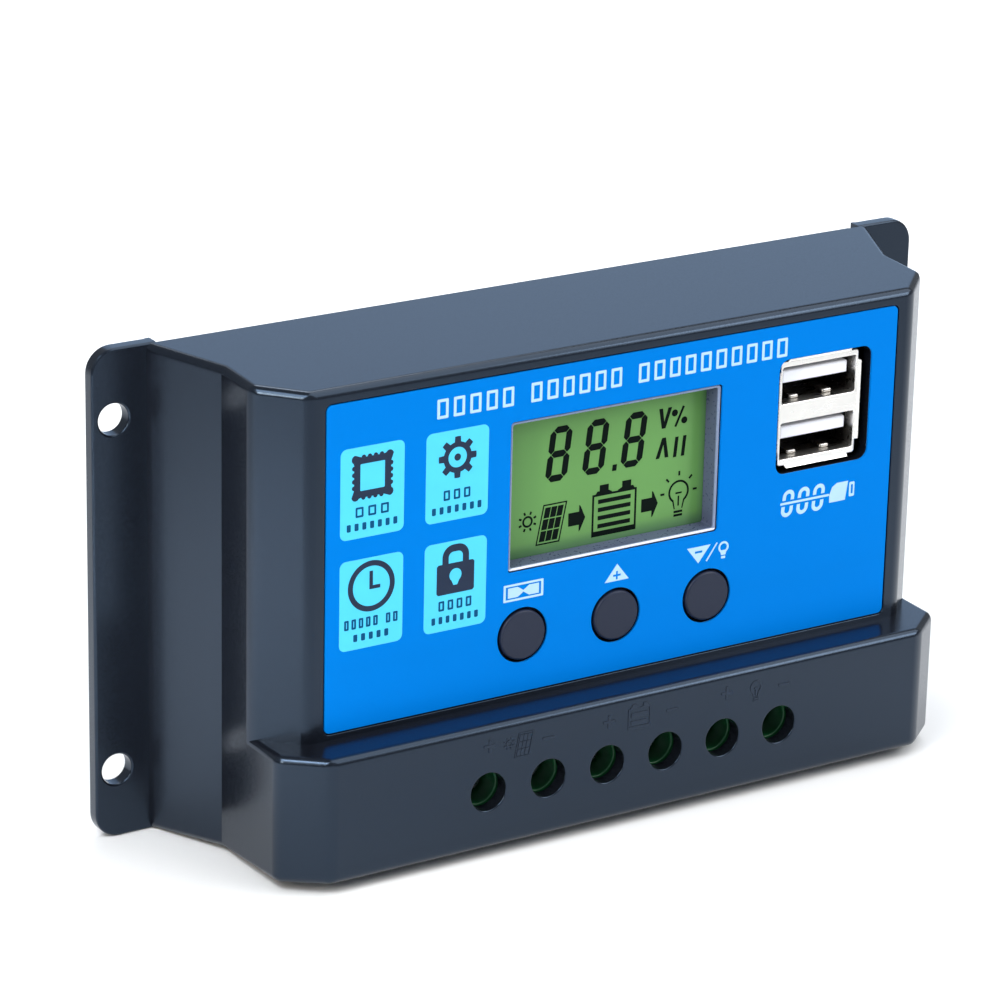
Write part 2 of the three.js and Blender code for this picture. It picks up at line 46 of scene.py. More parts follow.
MM = 0.001
HALF_HEIGHT = 34.7  # at the wall
DRAFT = 0.048  # how much the height drops on each side per millimetre forward
FACE_Y = -27.0
COVER_Y = -33.2
STEP_Z = -15.2
WALL = 2.1
SIDE_HALF_WIDTH = 53.65
FACE_HALF_WIDTH = 48.05
CHAMFER_REAR = -21.4
COVER_HALF_WIDTH = 47.9
COVER_CHAMFER_REAR = -28.4
FLARE_FRONT = -13.65
FOOT_HALF_WIDTH = 58.6
EAR_THICKNESS = 2.0
EAR_HALF_WIDTH = 66.5
EAR_INNER = 57.0
EAR_CORNER = 3.5
EAR_HOLE = (63.3, 24.9, 2.2)  # x, z and radius
EDGE_ROUNDING = 1.1
LABEL = (-45.55, 45.55, -14.25, 31.33, 0.8)  # x0, x1, z0, z1 and corner radius
LABEL_FRONT = -26.95
LABEL_REAR = -26.65
RECESS_FLOOR = -26.6
LCD_WINDOW = (-17.5, 16.4, 3.2, 24.5, 0.5)
USB_WINDOW = (25.8, 41.5, 9.6, 26.3, 1.6)
BUTTON_X = (-15.0, 0.0, 15.0)
BUTTON_Z = -6.0
BUTTON_HOLE_RADIUS = 3.97
TERMINAL_PITCH = 9.5
TERMINAL_X = [(i - 2.5) * TERMINAL_PITCH for i in range(6)]
TERMINAL_Z = -24.75
DRIVER_HOLE_RADIUS = 2.72
BOARD_FRONT = -10.6
BOARD_SCREWS = ((-45.5, 26.5), (45.5, 26.5), (-45.5, -24.0), (45.5, -24.0))
PLATE_HALF_WIDTH = 56.7
PLATE_HALF_HEIGHT = 34.0
PLATE_THICKNESS = 1.7
PLATE_SCREWS = ((-52.6, 28.5), (52.6, 28.5), (-52.6, -28.5), (52.6, -28.5))
INK = 0.02  # thickness of a print
CELL = (-23.7, -21.7)  # front and rear of the display cell
BEZEL_FRONT = -26.7
CAP_RADIUS = 3.55
FLANGE_RADIUS = 4.7
SOCKET_X = 33.3
SOCKET_Z = 18.1
SOCKET_HALF_WIDTH = 6.6
SOCKET_HALF_HEIGHT = 7.6
SOCKET_FRONT = -26.0
SOCKET_REAR = -10.8
PORT_HALF_WIDTH = 6.2
PORT_HALF_HEIGHT = 2.65
PORTS = (4.05, -4.05)  # middles of the two ports above and below the socket's
BLOCK_FRONT = -30.6
BLOCK_REAR = -10.9
BLOCK_BOTTOM = -30.9
BLOCK_TOP = -18.2
SCREW_HEAD = (-27.6, -25.6)  # front and rear
CAGE_FRONT = -20.2
CAGE_WINDOW = (-18.8, -12.9)  # front and rear
CAGE_REAR = -11.9
CLAMP_TRAVEL = 4.2

# -------------------- outlines in the front view


def circle(x, z, radius, sides=64):
    """A circle as a function of how much it is grown."""

    def outline(grow=0.0):
        r = radius + grow
        turns = [2 * math.pi * i / sides for i in range(sides)]
        return [(x + r * math.cos(a), z + r * math.sin(a)) for a in turns]

    return outline


def rounded_box(x0, x1, z0, z1, corner=0.02, arc=6):
    """A rectangle with round corners as a function of how much it is grown."""

    def outline(grow=0.0):
        r = max(corner + grow, 0.01)
        left, right, low, high = x0 - grow + r, x1 + grow - r, z0 - grow + r, z1 + grow - r
        centres = [(right, low), (right, high), (left, high), (left, low)]
        points = []
        for quarter, (cx, cz) in enumerate(centres):
            for i in range(arc + 1):
                a = math.pi / 2 * (quarter - 1 + i / arc)
                points.append((cx + r * math.cos(a), cz + r * math.sin(a)))
        return points

    return outline


def moved(points, x=0.0, z=0.0, slant=0.0, size=1.0):
    """Points of a picture drawn around the origin, brought to a size, a slant and a place."""
    return [(x + size * (px + slant * pz), z + size * pz) for px, pz in points]


def box(x0, x1, z0, z1, x=0.0, z=0.0, size=1.0):
    """A sharp box of a picture that is drawn at a size around (x, z)."""
    return rounded_box(x + size * x0, x + size * x1, z + size * z0, z + size * z1)()


def thick_line(x0, z0, x1, z1, width):
    """A straight stroke with square ends."""
    dx, dz = x1 - x0, z1 - z0
    half = width / 2 / math.hypot(dx, dz)
    nx, nz = -dz * half, dx * half
    return [(x0 + nx, z0 + nz), (x0 - nx, z0 - nz), (x1 - nx, z1 - nz), (x1 + nx, z1 + nz)]


def ray(x, z, degrees, near, far, width):
    """A short stroke that points away from (x, z)."""
    dx, dz = math.cos(math.radians(degrees)), math.sin(math.radians(degrees))
    return thick_line(x + near * dx, z + near * dz, x + far * dx, z + far * dz, width)


def arc_points(x, z, radius, start, end, steps=16):
    """Points on an arc, with the angles in degrees."""
    turns = [math.radians(start + (end - start) * i / steps) for i in range(steps + 1)]
    return [(x + radius * math.cos(a), z + radius * math.sin(a)) for a in turns]


# -------------------- solids


def new_object(name, bm):
    bmesh.ops.recalc_face_normals(bm, faces=bm.faces[:])
    mesh = bpy.data.meshes.new(name)
    bm.to_mesh(mesh)
    bm.free()
    obj = bpy.data.objects.new(name, mesh)
    bpy.context.scene.collection.objects.link(obj)
    return obj


def loft(rings):
    """A closed solid through front-view outlines with equal numbers of points, each at a depth."""
    bm = bmesh.new()
    loops = [[bm.verts.new((x, y, z)) for x, z in outline] for outline, y in rings]
    bm.faces.new(loops[0])
    bm.faces.new(loops[-1][::-1])
    for near, far in zip(loops, loops[1:]):
        for i, j in zip(range(len(near)), list(range(1, len(near))) + [0]):
            bm.faces.new((near[j], near[i], far[i], far[j]))
    return new_object("solid", bm)


def bar(outline, y0, y1, front=0.0, rear=0.0, steps=5):
    """A solid between two depths with rounded rims, or flared ones where they are negative."""
    rings = []
    for rounding, y, inward in ((front, y0, 1), (rear, y1, -1)):
        turns = [math.pi / 2 * i / steps for i in range(steps + 1)] if rounding else [math.pi / 2]
        depth = abs(rounding)
        ends = [
            (outline(-rounding * (1 - math.sin(a))), y + inward * depth * (1 - math.cos(a)))
            for a in turns
        ]
        rings += ends if inward > 0 else ends[::-1]
    return loft(rings)


def cutter(outline, y0, y1, flare, reach=1.0):
    """A tool that cuts a hole from the front at y0, with a rounded rim, back to y1."""
    steps = 5
    rings = [(outline(flare), y0 - reach)]
    for i in range(steps + 1):
        a = math.pi / 2 * i / steps
        rings.append((outline(flare * (1 - math.sin(a))), y0 + flare * (1 - math.cos(a))))
    rings.append((outline(0.0), y1))
    return loft(rings)


def cuboid(x0, x1, y0, y1, z0, z1):
    bm = bmesh.new()
    bmesh.ops.create_cube(bm, size=1.0)
    for v in bm.verts:
        x = x1 if v.co.x > 0 else x0
        y = y1 if v.co.y > 0 else y0
        z = z1 if v.co.z > 0 else z0
        v.co = (x, y, z)
    return new_object("solid", bm)


def round_edges(obj, width, segments=5, choose=lambda edge: True):
    """Rounds the convex edges of a solid, or only those that choose(edge) accepts."""
    bm = bmesh.new()
    bm.from_mesh(obj.data)
    bend = math.radians(15)
    edges = [e for e in bm.edges if e.calc_face_angle_signed(0.0) > bend and choose(e)]
    bmesh.ops.bevel(
        bm,
        geom=edges,
        offset=width,
        offset_type="OFFSET",
        segments=segments,
        profile=0.5,
        affect="EDGES",
        clamp_overlap=True,
    )
    bm.to_mesh(obj.data)
    bm.free()
    return obj


def bake(obj):
    """Applies the modifiers of an object."""
    graph = bpy.context.evaluated_depsgraph_get()
    mesh = bpy.data.meshes.new_from_object(obj.evaluated_get(graph))
    obj.modifiers.clear()
    old = obj.data
    obj.data = mesh
    bpy.data.meshes.remove(old)
    return obj


def combine(base, tools, operation="DIFFERENCE"):
    """Cuts the tools from the base, or joins them to it, one after the other."""
    for tool in tools:
        modifier = base.modifiers.new("combine", "BOOLEAN")
        modifier.operation = operation
        modifier.solver = "MANIFOLD"
        modifier.object = tool
    bake(base)
    for tool in tools:
        bpy.data.objects.remove(tool)
    return base


def merged(objects):
    """Several separate solids as one object."""
    bm = bmesh.new()
    for obj in objects:
        bm.from_mesh(obj.data)
        bpy.data.objects.remove(obj)
    return new_object("solids", bm)


def flat_solid(outlines, y0, y1):
    """A plate between two depths. An outline inside another one is a hole in it."""
    curve = bpy.data.curves.new("flat", "CURVE")
    curve.dimensions = "2D"
    curve.fill_mode = "BOTH"
    curve.extrude = (y1 - y0) / 2
    for points in outlines:
        spline = curve.splines.new("POLY")
        spline.points.add(len(points) - 1)
        for point, (x, z) in zip(spline.points, points):
            point.co = (x, z, 0.0, 1.0)
        spline.use_cyclic_u = True
    drawn = bpy.data.objects.new("flat", curve)
    bpy.context.scene.collection.objects.link(drawn)
    graph = bpy.context.evaluated_depsgraph_get()
    mesh = bpy.data.meshes.new_from_object(drawn.evaluated_get(graph))
    bpy.data.objects.remove(drawn)
    upright = Matrix.Translation((0, (y0 + y1) / 2, 0)) @ Matrix.Rotation(math.pi / 2, 4, "X")
    mesh.transform(upright)
    bm = bmesh.new()
    bm.from_mesh(mesh)
    bmesh.ops.remove_doubles(bm, verts=bm.verts[:], dist=1e-5)
    bpy.data.meshes.remove(mesh)
    return new_object("flat", bm)


def finish_piece(obj, name, material, body="housing", stands_for=(), smooth_below=21):
    """Names a piece, brings it to metres, shades it and hangs it on its body.

    Its edges are smooth where they bend less than smooth_below, in degrees.
    """
    obj.name = name
    obj.data.name = name
    obj.data.transform(Matrix.Scale(MM, 4))
    bm = bmesh.new()
    bm.from_mesh(obj.data)
    for face in bm.faces:
        face.smooth = True
    for edge in bm.edges:
        edge.smooth = edge.calc_face_angle(math.pi) < math.radians(smooth_below)
    bm.to_mesh(obj.data)
    bm.free()
    obj.data.materials.clear()
    obj.data.materials.append(material)
    normals = obj.modifiers.new("normals", "WEIGHTED_NORMAL")
    normals.keep_sharp = True
    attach(obj, body)
    if stands_for:
        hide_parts(*stands_for)


# -------------------- materials


class Shader:
    """A node material with a Principled shader and short ways to add to it."""

    def __init__(self, name):
        self.material = bpy.data.materials.new(name)
        self.material.use_nodes = True
        self.nodes = self.material.node_tree.nodes
        self.links = self.material.node_tree.links
        self.main = self.nodes["Principled BSDF"]
        self.place = self.nodes.new("ShaderNodeTexCoord").outputs["Object"]

    def node(self, kind, **values):
        """A new node with values for its inputs. In their names _ stands for a space."""
        node = self.nodes.new("ShaderNode" + kind)
        for name, value in values.items():
            socket = node.inputs[name.replace("_", " ")]
            if isinstance(value, bpy.types.NodeSocket):
                self.links.new(value, socket)
            else:
                socket.default_value = value
        return node

    def noise(self, scale, detail=3.0, stretch=(1, 1, 1)):
        mapping = self.node("Mapping", Scale=stretch, Vector=self.place)
        vector = mapping.outputs["Vector"]
        return self.node("TexNoise", Scale=scale, Detail=detail, Vector=vector).outputs["Fac"]

    def spread(self, value, low, high, start=0.3, end=0.7):
        """Maps a value between start and end to low and high."""
        node = self.node("MapRange", From_Min=start, From_Max=end, To_Min=low, To_Max=high)
        self.links.new(value, node.inputs["Value"])
        return node.outputs["Result"]

    def along(self, axis, start, end):
        """From 0 to 1 along an axis, between two places in millimetres."""
        split = self.node("SeparateXYZ", Vector=self.place)
        return self.spread(split.outputs[axis], 0.0, 1.0, start * MM, end * MM)

    def blend(self, factor, first, second, kind="MIX"):
        """Mixes two colours, each a colour or a socket."""
        node = self.node("Mix", Factor=factor)
        node.data_type = "RGBA"
        node.blend_type = kind
        for socket, colour in ((node.inputs[6], first), (node.inputs[7], second)):
            if isinstance(colour, bpy.types.NodeSocket):
                self.links.new(colour, socket)
            else:
                socket.default_value = (*colour, 1.0)
        return node.outputs[2]

    def colour(self, socket):
        self.links.new(socket, self.main.inputs["Base Color"])

    def gloss(self, value, low, high):
        """Uneven roughness between low and high."""
        self.links.new(self.spread(value, low, high), self.main.inputs["Roughness"])

    def specular(self, level):
        self.main.inputs["Specular IOR Level"].default_value = level

    def fade(self, start, end, deepest_shade):
        """Painted shade in a hollow: multiplies the colour by a tint that grows between two depths
        in millimetres.
        """
        base = self.main.inputs["Base Color"].links[0].from_socket
        tint = self.blend(self.along("Y", start, end), WHITE, deepest_shade)
        self.colour(self.blend(1.0, base, tint, "MULTIPLY"))

    def bump(self, height, depth, strength=1.0):
        node = self.node("Bump", Strength=strength, Distance=depth * MM, Height=height)
        self.links.new(node.outputs["Normal"], self.main.inputs["Normal"])


def linear(red, green, blue):
    """A colour from 0 to 255 a channel as the renderer's linear light."""
    channels = []
    for value in (red, green, blue):
        c = value / 255
        channels.append(c / 12.92 if c <= 0.04045 else ((c + 0.055) / 1.055) ** 2.4)
    return tuple(channels)


def scaled(colour, factor):
    return tuple(c * factor for c in colour)


WHITE = (1.0, 1.0, 1.0)


def surface(
    name,
    colour,
    roughness,
    metallic=0.0,
    shade=0.12,
    shade_scale=70.0,
    grain=0.004,
    grain_scale=2500.0,
    stretch=(1, 1, 1),
    specular=0.5,
    tint=WHITE,
    rough_spread=0.05,
    fade=None,
):
    """A solid material with slow changes of shade, uneven gloss and a fine surface grain.

    The last argument paints shade in a hollow: two depths in millimetres and the darker tint that
    the colour takes on between them.
    """
    shader = Shader(name)
    slow = shader.noise(shade_scale)
    shader.colour(shader.blend(slow, scaled(colour, 1 - shade), scaled(colour, 1 + shade)))
    fine = shader.noise(grain_scale, 2.0, stretch)
    shader.gloss(fine, roughness - rough_spread, roughness + rough_spread)
    shader.specular(specular)
    shader.main.inputs["Metallic"].default_value = metallic
    shader.main.inputs["Specular Tint"].default_value = (*tint, 1.0)
    shader.bump(fine, grain)
    if fade:
        shader.fade(*fade)
    return shader.material


def ink(name, colour, shade, shade_scale, specular, roughness=0.4):
    """A thin print."""
    return surface(
        name,
        colour,
        roughness,
        shade=shade,
        shade_scale=shade_scale,
        grain=0.001,
        specular=specular,
    )


def label_material():
    """Printed blue film, a little lighter at its lower edge as painted light that lifts the shade
    there, with a faint orange-peel gloss.
    """
    shader = Shader("label_blue")
    height = shader.along("Z", -14.5, -6.0)
    # painted light: the blue is lighter towards the lower edge
    blue_with_painted_light = shader.blend(height, linear(0, 127, 226), linear(0, 120, 212))
    cloud = shader.spread(shader.noise(45.0, 2.0), 0.0, 0.12)
    shader.colour(shader.blend(cloud, blue_with_painted_light, linear(0, 116, 207)))
    peel = shader.noise(900.0, 1.0)
    shader.gloss(peel, 0.34, 0.42)
    shader.specular(0.02)
    shader.bump(peel, 0.002)
    return shader.material


def display_material():
    """Green display cell, darker and greyer towards its right and lower edges: painted shadow of
    the window's walls.
    """
    shader = Shader("display_green")
    green = linear(99, 150, 81)
    painted_shadow = linear(74, 104, 92)
    cloud = shader.spread(shader.noise(60.0, 2.0), 0.0, 1.0)
    plain = shader.blend(cloud, scaled(green, 0.94), scaled(green, 1.05))
    # painted shadow of the window's right and lower walls
    right = shader.blend(shader.along("X", 14.9, 17.6), plain, painted_shadow)
    shader.colour(shader.blend(shader.along("Z", 5.6, 2.6), right, painted_shadow))
    shader.gloss(shader.noise(400.0, 2.0), 0.16, 0.24)
    shader.specular(0.25)
    return shader.material


def board_material():
    """Green circuit board with darker copper tracks under its lacquer."""
    shader = Shader("circuit_board")
    bricks = shader.node(
        "TexBrick",
        Scale=160.0,
        Mortar_Size=0.06,
        Color1=(*linear(22, 92, 52), 1.0),
        Color2=(*linear(18, 80, 46), 1.0),
        Mortar=(*linear(52, 128, 74), 1.0),
    )
    turn = shader.node("Mapping", Rotation=(math.pi / 2, 0, 0), Vector=shader.place)
    shader.links.new(turn.outputs["Vector"], bricks.inputs["Vector"])
    shader.colour(bricks.outputs["Color"])
    shader.gloss(shader.noise(900.0, 2.0), 0.3, 0.42)
    shader.bump(bricks.outputs["Fac"], 0.03, 0.6)
    return shader.material


def bezel_material():
    """Grey rim of the display, lighter along its front edge and lightest along its lower one:
    painted highlights.
    """
    shader = Shader("bezel_plastic")
    cloud = shader.spread(shader.noise(70.0), 0.0, 1.0)
    wall = shader.blend(cloud, linear(82, 89, 115), linear(91, 98, 126))
    # painted highlights along the rim's front edge and, brightest, along its lower edge
    edge = shader.blend(shader.along("Y", -26.35, -26.55), wall, linear(128, 142, 172))
    shader.colour(shader.blend(shader.along("Z", 3.74, 3.64), edge, linear(228, 230, 240)))
    fine = shader.noise(2200.0, 2.0)
    shader.gloss(fine, 0.26, 0.34)
    shader.bump(fine, 0.001)
    return shader.material


def moulded(name, colour, roughness):
    """The housing's dark plastic, whose gloss is bluish."""
    return surface(
        name,
        colour,
        roughness,
        shade=0.08,
        grain=0.002,
        grain_scale=3200.0,
        specular=0.6,
        tint=(0.48, 0.69, 1.0),
    )


housing_plastic = moulded("housing_plastic", linear(17, 19, 25), 0.22)
mark_plastic = moulded("mark_plastic", linear(22, 25, 33), 0.34)
button_plastic = surface(
    "button_plastic",
    linear(28, 36, 56),
    0.42,
    shade=0.06,
    grain_scale=2600.0,
    specular=0.3,
)
label_blue = label_material()
card_ink = ink("card_ink", linear(82, 207, 252), 0.04, 300.0, 0.12)
dark_ink = ink("dark_ink", linear(34, 46, 68), 0.12, 400.0, 0.15)
caption_ink = ink("caption_ink", linear(0, 74, 116), 0.1, 400.0, 0.12)
white_ink = ink("white_ink", linear(178, 214, 244), 0.05, 300.0, 0.12)
display_green = display_material()
segment_ink = ink("segment_ink", linear(5, 16, 12), 0.15, 200.0, 0.05, 0.35)
bezel_plastic = bezel_material()
socket_metal = surface(
    "socket_metal",
    linear(242, 239, 234),
    0.3,
    metallic=1.0,
    shade=0.05,
    shade_scale=300.0,
    grain=0.002,
    grain_scale=1800.0,
    stretch=(0.15, 1, 1),
    rough_spread=0.08,
    # painted shade: the shell darkens deeper inside the ports
    fade=(-25.7, -23.6, (0.14, 0.13, 0.12)),
)
tongue_plastic = surface(
    "tongue_plastic",
    linear(246, 247, 255),
    0.42,
    shade=0.04,
    grain=0.003,
    # painted shade: the tongues darken deeper inside the ports
    fade=(-24.0, -20.0, (0.3, 0.3, 0.34)),
)
contact_metal = surface(
    "contact_metal", linear(226, 186, 96), 0.28, metallic=1.0, shade=0.06, grain=0.002
)
terminal_plastic = surface(
    "terminal_plastic", linear(14, 84, 44), 0.4, shade=0.08, grain=0.005, grain_scale=2400.0
)
screw_steel = surface(
    "screw_steel",
    linear(190, 192, 196),
    0.32,
    metallic=1.0,
    shade=0.08,
    shade_scale=500.0,
    grain_scale=2600.0,
    rough_spread=0.1,
)
clamp_metal = surface("clamp_metal", linear(206, 178, 112), 0.34, metallic=1.0, shade=0.08)
plate_metal = surface(
    "plate_metal",
    linear(52, 54, 60),
    0.5,
    metallic=0.35,
    shade=0.1,
    shade_scale=40.0,
    grain=0.01,
    grain_scale=1600.0,
    rough_spread=0.08,
)
chip_epoxy = surface("chip_epoxy", linear(30, 31, 34), 0.55, grain=0.01)
can_sleeve = surface("can_sleeve", linear(38, 42, 54), 0.35, shade=0.06, grain=0.003)
ferrite_grey = surface("ferrite_grey", linear(62, 62, 66), 0.7, shade=0.15, grain=0.02)
pad_rubber = surface("pad_rubber", linear(150, 164, 180), 0.8, shade=0.06, grain=0.02)
guide_plastic = surface("guide_plastic", linear(232, 238, 224), 0.3, shade=0.03, grain=0.002)
ribbon_film = surface("ribbon_film", linear(184, 122, 50), 0.4, shade=0.08, grain=0.003)
circuit_board = board_material()

# -------------------- housing


def inset_outline(points, distance):
    """Moves every edge of an anticlockwise outline inwards."""
    result = []
    for i, (x, y) in enumerate(points):
        before = Vector((x - points[i - 1][0], y - points[i - 1][1])).normalized()
        ahead = points[(i + 1) % len(points)]
        after = Vector((ahead[0] - x, ahead[1] - y)).normalized()
        normal = Vector((-before.y - after.y, before.x + after.x)).normalized()
        reach = distance / (normal.x * -before.y + normal.y * before.x)
        result.append((x + normal.x * reach, y + normal.y * reach))
    return result


def right_side(front_half_width, front_y, chamfer_rear, rear_y, inset):
    """The right half of a plan outline, from its front corner back to the wall."""
    right = [
        (front_half_width, front_y),
        (SIDE_HALF_WIDTH, chamfer_rear),
        (SIDE_HALF_WIDTH, FLARE_FRONT),
        (FOOT_HALF_WIDTH, -EAR_THICKNESS),
        (FOOT_HALF_WIDTH, rear_y),
    ]
    left = [(-x, y) for x, y in right][::-1]
    return inset_outline(right + left, inset)[: len(right)]


def body_solid(inset, rear_y):
    """The upper body and the raised terminal cover in one, moved inwards by inset."""
    upper = right_side(FACE_HALF_WIDTH, FACE_Y, CHAMFER_REAR, rear_y, inset)
    cover = right_side(COVER_HALF_WIDTH, COVER_Y, COVER_CHAMFER_REAR, rear_y, inset)
    step = STEP_Z - inset
    bm = bmesh.new()
    found = {}

    def point(side, xy, level):
        x, y = side * xy[0], xy[1]
        edge = HALF_HEIGHT - inset + DRAFT * y
        z = {"top": edge, "low": -edge, "step": step}[level]
        key = (round(x, 4), round(y, 4), round(z, 4))
        if key not in found:
            found[key] = bm.verts.new((x, y, z))
        return found[key]

    def face(*corners):
        bm.faces.new([point(*corner) for corner in corners])

    def level_face(outline, level):
        """A level face across both sides."""
        right = [(1, xy, level) for xy in outline]
        face(*right, *((-1, xy, level) for xy in outline[::-1]))

    def upright_face(xy, low, high):
        """A face parallel to the wall, across both sides."""
        face((1, xy, low), (1, xy, high), (-1, xy, high), (-1, xy, low))

    def side_face(side, near, far, low, high):
        face((side, near, low), (side, far, low), (side, far, high), (side, near, high))

    level_face(upper, "top")
    level_face(cover, "low")
    upright_face(upper[4], "low", "top")
    upright_face(upper[0], "step", "top")
    upright_face(cover[0], "low", "step")
    level_face([cover[0], cover[1], upper[1], upper[0]], "step")
    for side in (1, -1):
        side_face(side, upper[0], upper[1], "step", "top")
        side_face(side, cover[0], cover[1], "low", "step")
        side_face(side, upper[2], upper[3], "low", "top")
        side_face(side, upper[3], upper[4], "low", "top")
        face(
            (side, cover[1], "low"),
            (side, upper[2], "low"),
            (side, upper[2], "top"),
            (side, upper[1], "top"),
            (side, upper[1], "step"),
            (side, cover[1], "step"),
        )
    return new_object("body", bm)


def in_front_of_wall(edge):
    """True for an edge that isn't in the wall plane."""
    return min(v.co.y for v in edge.verts) < -0.1


def ear(side):
    """One fixing ear, with two holes."""
    x, z, radius = EAR_HOLE
    inner, outer = sorted((side * EAR_INNER, side * EAR_HALF_WIDTH))
    outline = rounded_box(inner, outer, -HALF_HEIGHT, HALF_HEIGHT, EAR_CORNER, 10)

    def squared(grow=0.0):
        """The outline with its inner corners, which are inside the body, left square."""
        middle = (inner + outer) / 2
        edge = side * EAR_INNER
        return [(x if (x - middle) * side > 0 else edge, z) for x, z in outline(grow)]

    plate = bar(squared, -EAR_THICKNESS, 0.0, 0.4, 0.2, 4)
    holes = [cutter(circle(side * x, end, radius), -EAR_THICKNESS, 1.0, 0.3) for end in (z, -z)]
    return combine(plate, [merged(holes)])


def face_openings(front, rear, flare):
    """Tools for the display's window, the sockets' window and the button holes."""
    windows = [rounded_box(*LCD_WINDOW), rounded_box(*USB_WINDOW)]
    holes = [circle(x, BUTTON_Z, BUTTON_HOLE_RADIUS) for x in BUTTON_X]
    return [cutter(outline, front, rear, flare) for outline in windows + holes]


def housing_posts():
    """Posts that hold the board from the front, and others that hold the back plate."""
    posts = []
    for x, z in BOARD_SCREWS:
        front = FACE_Y if z > 0 else COVER_Y
        posts.append(bar(circle(x, z, 2.8, 24), front + WALL / 2, BOARD_FRONT - 0.3))
    for x, z in PLATE_SCREWS:
        posts.append(bar(circle(x, z, 2.7, 24), -9.4, -PLATE_THICKNESS - 0.3))
    return merged(posts)


def housing_openings():
    """Tools for every hole of the housing."""
    tools = face_openings(RECESS_FLOOR, FACE_Y + WALL + 1, 0.05)
    for x in TERMINAL_X:
        driver_hole = circle(x, TERMINAL_Z, DRIVER_HOLE_RADIUS)
        tools.append(cutter(driver_hole, COVER_Y, COVER_Y + WALL + 1, 0.22))
    for x in TERMINAL_X:
        wire_entry = cuboid(x - 3.2, x + 3.2, -18.2, -12.3, -36.0, -30.0)
        tools.append(round_edges(wire_entry, 0.5, 3))
    for x, z in BOARD_SCREWS:
        tools.append(bar(circle(x, z, 1.0, 16), BOARD_FRONT - 8, BOARD_FRONT + 1))
    for x, z in PLATE_SCREWS:
        tools.append(bar(circle(x, z, 1.0, 16), -9.0, 0.0))
    return merged(tools)


def housing_shell():
    """The hollow moulding, open at the back for its plate."""
    body = round_edges(body_solid(0.0, 0.0), EDGE_ROUNDING, 5, in_front_of_wall)
    combine(body, [ear(1), ear(-1)], "UNION")
    combine(body, [body_solid(WALL, 2 * WALL)])
    combine(body, [housing_posts()], "UNION")
    seat = PLATE_HALF_WIDTH + 0.3
    plate_room = cuboid(-seat, seat, -PLATE_THICKNESS - 0.3, 1.0, -40.0, 40.0)
    recess = rounded_box(*LABEL)
    label_room = cutter(lambda grow: recess(grow + 0.2), FACE_Y, RECESS_FLOOR, 0.12)
    combine(body, [plate_room, label_room])
    combine(body, [housing_openings()])
    finish_piece(body, "housing_shell", housing_plastic, stands_for=["front_housing"])


# -------------------- label and prints


def label_film():
    """The printed film, with the windows and button holes cut out."""
    film = bar(rounded_box(*LABEL), LABEL_FRONT, LABEL_REAR, 0.05)
    combine(film, [merged(face_openings(LABEL_FRONT, LABEL_REAR + 1, 0.04))])
    finish_piece(film, "label_film", label_blue, stands_for=["front_label"])


def print_on_label(outlines, name, ink, layer=1):
    """A print on the label; a later layer lies on an earlier one."""
    solid = flat_solid(outlines, LABEL_FRONT - layer * INK, LABEL_FRONT + INK / 2)
    finish_piece(solid, name, ink)


def arch(x, low, high, width, line, opens):
    """A thin arch, open below (opens=1), or the same turned over into a cup (opens=-1)."""
    outer, inner = width / 2, width / 2 - line
    foot, spring = (low, high - outer) if opens > 0 else (high, low + outer)
    points = [(x - outer, foot)] + arc_points(x, spring, outer, 180, 180 - 180 * opens, 12)
    points += [(x + outer, foot), (x + inner, foot)]
    points += arc_points(x, spring, inner, 180 - 180 * opens, 180, 12)
    return points + [(x - inner, foot)]


def word_marks(x0, x1, z, height, groups, share, line=0.0):
    """Upright bars in groups from x0 to x1, which stand for printed words.

    Each bar is as wide as a share of its place. With a line it is hollow.
    """
    gap = 0.75
    pitch = (x1 - x0) / (sum(groups) + gap * (len(groups) - 1) - (1 - share))
    outlines = []
    x = x0
    for count in groups:
        for _ in range(count):
            mark = rounded_box(x, x + pitch * share, z - height / 2, z + height / 2, 0.14)
            outlines.append(mark())
            if line:
                outlines.append(mark(-line))
            x += pitch
        x += pitch * gap
    return outlines


def chip_picture(x, z):
    """A chip: a square frame with bumps along its sides and a larger one at each corner."""
    half, corner, bump = 2.55, 0.6, 0.33
    outline = []
    for quarter in range(4):
        turn = Matrix.Rotation(quarter * math.pi / 2, 2)
        side = arc_points(-half, -half, corner, 190, 330, 10)
        for u in (-1.35, -0.45, 0.45, 1.35):
            side += arc_points(u, -half - 0.22, bump, 180, 360, 6)
        outline += [tuple(turn @ Vector(point)) for point in side]
    hole = rounded_box(x - 1.85, x + 1.85, z - 1.85, z + 1.85, 0.15)
    return [moved(outline, x, z), hole()]


def gear_picture(x, z):
    """A gear with eight teeth, a ring and a dot in its middle."""
    outline = []
    for tooth in range(8):
        middle = 45 * (tooth + 1)
        outline += arc_points(x, z, 2.15, middle - 22.5, middle - 13, 3)
        outline += arc_points(x, z, 2.9, middle - 8.5, middle + 8.5, 3)
        outline += arc_points(x, z, 2.15, middle + 13, middle + 21, 3)
    return [outline, circle(x, z, 1.42, 40)(), circle(x, z, 0.5, 24)()]


def clock_picture(x, z):
    """A clock face with two hands."""
    hands = [(-0.3, 2.1), (-0.3, -0.45), (1.35, -0.45), (1.35, 0.05), (0.22, 0.05), (0.22, 2.1)]
    return [circle(x, z, 3.55)(), circle(x, z, 2.8)(), moved(hands, x, z)]


